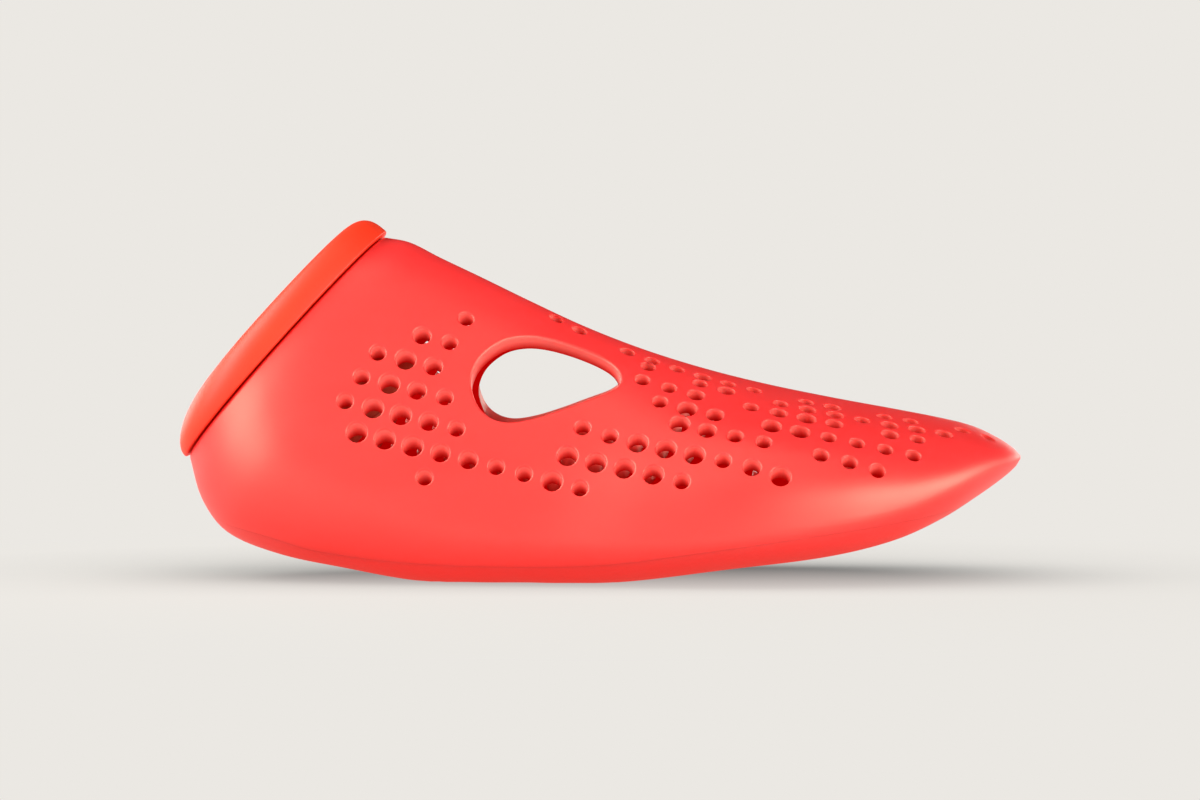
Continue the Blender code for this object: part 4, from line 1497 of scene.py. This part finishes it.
def box(name, centre, sizes, bevel=0.0):
    """A box with its sizes along the cap's plane, across it and out of it."""
    solid = bmesh.new()
    bmesh.ops.create_cube(solid, size=1.0)
    for vertex in solid.verts:
        reach = zip((cap_up, ACROSS, cap_out), sizes, vertex.co)
        vertex.co = centre + sum((axis * size * part for axis, size, part in reach), Vector())
    bmesh.ops.recalc_face_normals(solid, faces=solid.faces)
    if bevel:
        bmesh.ops.bevel(
            solid,
            geom=solid.edges[:],
            offset=bevel,
            segments=BLOCK_EDGE_STEPS,
            profile=0.5,
            affect="EDGES",
        )
    return add_object(name, mesh_of(solid, name))


root = cavity + SOCKET_ROOT_SHARE * CAP_WALL
tip = cavity - SOCKET_DEPTH
socket_length = BLOCK_LENGTH + 2.0 * BLOCK_CLEARANCE
socket_width = BLOCK_WIDTH + 2.0 * BLOCK_CLEARANCE
socket_centre = top_middle + seat + cap_out * (0.5 * (root + tip))
socket_sizes = (socket_length + 2.0 * SOCKET_WALL, socket_width + 2.0 * SOCKET_WALL, root - tip)
hollow_sizes = (socket_length, socket_width, 2.0 * (root - tip))
socket = box("socket", socket_centre, socket_sizes)
cut(socket, box("socket_hollow", socket_centre, hollow_sizes))
cut(cap, socket, "UNION")
cap.data.shade_smooth()
cap.data.set_sharp_from_angle(angle=SHARPEST)

face_height = CAP_SEAT_GAP + cavity - BLOCK_CLEARANCE
block = box(
    "cedar_block",
    top_middle + cap_out * (face_height - 0.5 * BLOCK_DEPTH),
    (BLOCK_LENGTH, BLOCK_WIDTH, BLOCK_DEPTH),
    BLOCK_EDGE_ROUND,
)
block.data.shade_smooth()
block.data.set_sharp_from_angle(angle=SHARPEST)
print(f"cap with its socket: {len(cap.data.polygons)} faces, block: {len(block.data.polygons)} faces")

# %% [markdown]
# ## Finishes on the cap and the block
#
# The shells got their two reds while they were shaded. The cap and the block have one finish each, so
# the finish simply takes the first material slot.

# %% Finishes on their pieces
for piece, material in ((cap, orange_plastic), (block, cedar)):
    piece.data.materials.clear()
    piece.data.materials.append(material)
    print(f"{piece.name}: {material.name}")

# %% [markdown]
# ## The studio
#
# The studio is one warm off-white from the floor to the horizon. The world is that colour to the camera,
# and only a weak white light to everything else, so that the lamps do the drawing.

# %% The world
WHITE = (1.0, 1.0, 1.0, 1.0)
BACKGROUND = (0.831, 0.807, 0.768, 1.0)
AMBIENT = 0.05

world = bpy.data.worlds.new("studio")
scene.world = world
world.use_nodes = True
backdrop = world.node_tree.nodes["Background"]
by_camera = Wire.node(world.node_tree, "ShaderNodeLightPath")
Wire.plug(blend(world.node_tree, by_camera, WHITE, BACKGROUND), backdrop.inputs["Color"])
Wire.plug(by_camera + AMBIENT * (1.0 - by_camera), backdrop.inputs["Strength"])
print(f"world: {AMBIENT:.2f} of white light")

# %% [markdown]
# ## The floor's own light and shadow
#
# A floor that is only lit never matches a background exactly, so this one is mostly its own light: what
# you see of it is the colour of the background, and a small share still takes the light and the shadows
# of the lamps. Far from the object even that share fades out.
#
# Near the object an ambient occlusion node darkens the floor's own colour, which gives the soft grey
# shadow at the heel and the toe. The node looks up, forward and a little to the left, to where most of
# the light comes from, and the shadow fades out in front, so it falls behind the object. A power spreads
# it and a small cut ends it. To rays that bounce, the floor there is red instead of grey, as a pale floor
# is close to a red object, and that lights the underside.

# %% The floor
FLOOR_REACH = 3.0
FLOOR_COLOUR = (0.76, 0.735, 0.70, 1.0)
FLOOR_ROUGHNESS = 0.9
LIT_NEAR = 0.16
LIT_FAR = 0.32
LIT_STRETCH = (1.0, 1.4, 1.0)
OWN_LIGHT = 0.90
LIGHT_FROM = (-0.33, -0.70, 0.63)
SHADOW_REACH = 0.13
SHADOW_GAIN = 1.35
SHADOW_SPREAD = 0.66
SHADOW_CUT = 0.13
SHADOW_FRONT = -0.070
SHADOW_FULL = 0.040
FLOOR_IN_SHADOW = (0.130, 0.175, 0.172, 1.0)
FLOOR_BOUNCE = (0.85, 0.20, 0.16, 1.0)


def own_floor_colour(tree, place):
    """The background's colour, grey in the shadow, and red there to rays that bounce."""
    look = {"Distance": SHADOW_REACH, "Normal": LIGHT_FROM}
    open_sky = Wire.node(tree, "ShaderNodeAmbientOcclusion", None, look).sibling("AO")
    shade = SHADOW_GAIN * (1.0 - open_sky) ** SHADOW_SPREAD - SHADOW_CUT
    seen = Wire.node(tree, "ShaderNodeLightPath")
    back = Wire.node(tree, "ShaderNodeSeparateXYZ", None, {"Vector": place}).sibling("Y")
    in_front = 1.0 - ramp(back, SHADOW_FRONT, SHADOW_FULL)
    share = shade.clamped(0.0, 1.0) * (1.0 - seen * in_front)
    return blend(tree, share, BACKGROUND, blend(tree, seen, FLOOR_BOUNCE, FLOOR_IN_SHADOW))


def make_floor_finish():
    """A pale floor that is mostly its own light, and all of it far from the object."""
    finish, tree, shader = new_finish("studio_floor")
    shader.inputs["Base Color"].default_value = FLOOR_COLOUR
    shader.inputs["Roughness"].default_value = FLOOR_ROUGHNESS
    shader.inputs["Specular IOR Level"].default_value = 0.0
    place = object_place(tree)
    fade = ramp((place * LIT_STRETCH).length(), LIT_NEAR, LIT_FAR)
    own_share = OWN_LIGHT + (1.0 - OWN_LIGHT) * fade
    own_colour = own_floor_colour(tree, place)
    own = Wire.node(tree, "ShaderNodeEmission", None, {"Color": own_colour, "Strength": 1.0})
    parts = {0: own_share, 1: Wire(shader.outputs["BSDF"]), 2: own}
    surface = Wire.node(tree, "ShaderNodeMixShader", None, parts)
    Wire.plug(surface, tree.nodes["Material Output"].inputs["Surface"])
    return finish


floor_mesh = bpy.data.meshes.new("studio_floor")
corners = [Vector((x, y, 0.0)) * FLOOR_REACH for x, y in ((-1, -1), (1, -1), (1, 1), (-1, 1))]
floor_mesh.from_pydata(corners, [], [(0, 1, 2, 3)])
floor_mesh.materials.append(make_floor_finish())
floor = add_object("studio_floor", floor_mesh)
print(f"floor: {2.0 * FLOOR_REACH:.0f} m square")

# %% [markdown]
# ## The lamps
#
# Satin plastic shows its form by where the studio is mirrored in it, so the lamps are placed by what they
# draw. Boxes at the left give the broad glow on the heel. Low strips at the right run a long highlight
# along the side of the toe. Weak boxes in front and above keep the ridge readable, and two low strips at
# the back light the side that the camera doesn't see. Each lamp is listed by the angle it stands round
# from the front, the angle it stands up, its size in metres and its power in watts.

# %% The lamps
LAMP_TARGET = Vector((0.0, 0.0, 0.05))
LAMP_DISTANCE = 1.1
LAMP_COLOUR = (1.0, 0.98, 0.92)
Lamp = namedtuple("Lamp", "name azimuth elevation width height power")
LAMPS = [
    Lamp("left_side_box", -90, 35, 0.80, 0.70, 8.6),
    Lamp("left_front_box", -60, 30, 0.70, 0.60, 7.6),
    Lamp("left_strip", -60, 4, 0.70, 0.34, 5.2),
    Lamp("right_front_strip", 32, 6, 0.60, 0.30, 4.4),
    Lamp("right_strip", 60, 7, 0.70, 0.42, 7.2),
    Lamp("right_side_strip", 90, 15, 0.60, 0.40, 1.3),
    Lamp("front_box", 0, 35, 0.60, 0.45, 0.5),
    Lamp("top_box", 0, 65, 0.60, 0.45, 1.1),
    Lamp("left_back_strip", -130, 8, 0.90, 0.30, 3.2),
    Lamp("right_back_strip", 140, 8, 0.90, 0.30, 2.6),
]


def add_soft_lamp(lamp):
    """A soft box that stands round from the front and up by its angles, and faces the object."""
    turn = radians(lamp.azimuth)
    up = radians(lamp.elevation)
    away = Vector((sin(turn) * cos(up), -cos(turn) * cos(up), sin(up)))
    light = bpy.data.lights.new(lamp.name, "AREA")
    light.shape = "RECTANGLE"
    light.size = lamp.width
    light.size_y = lamp.height
    light.energy = lamp.power
    light.color = LAMP_COLOUR
    holder = add_object(lamp.name, light)
    holder.location = LAMP_TARGET + away * LAMP_DISTANCE
    holder.rotation_euler = (-away).to_track_quat("-Z", "Y").to_euler()


for lamp in LAMPS:
    add_soft_lamp(lamp)
scene.view_settings.view_transform = "Standard"
print(f"{len(LAMPS)} lamps, {sum(lamp.power for lamp in LAMPS):.0f} W")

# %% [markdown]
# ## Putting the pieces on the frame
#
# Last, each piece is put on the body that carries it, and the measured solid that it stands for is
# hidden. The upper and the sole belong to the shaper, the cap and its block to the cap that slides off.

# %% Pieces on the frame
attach(upper, "shaper")
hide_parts("upper_shell")
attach(sole, "shaper")
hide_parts("sole_shell")
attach(cap, "cap")
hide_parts("heel_cap")
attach(block, "cap")
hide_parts("freshener_block")
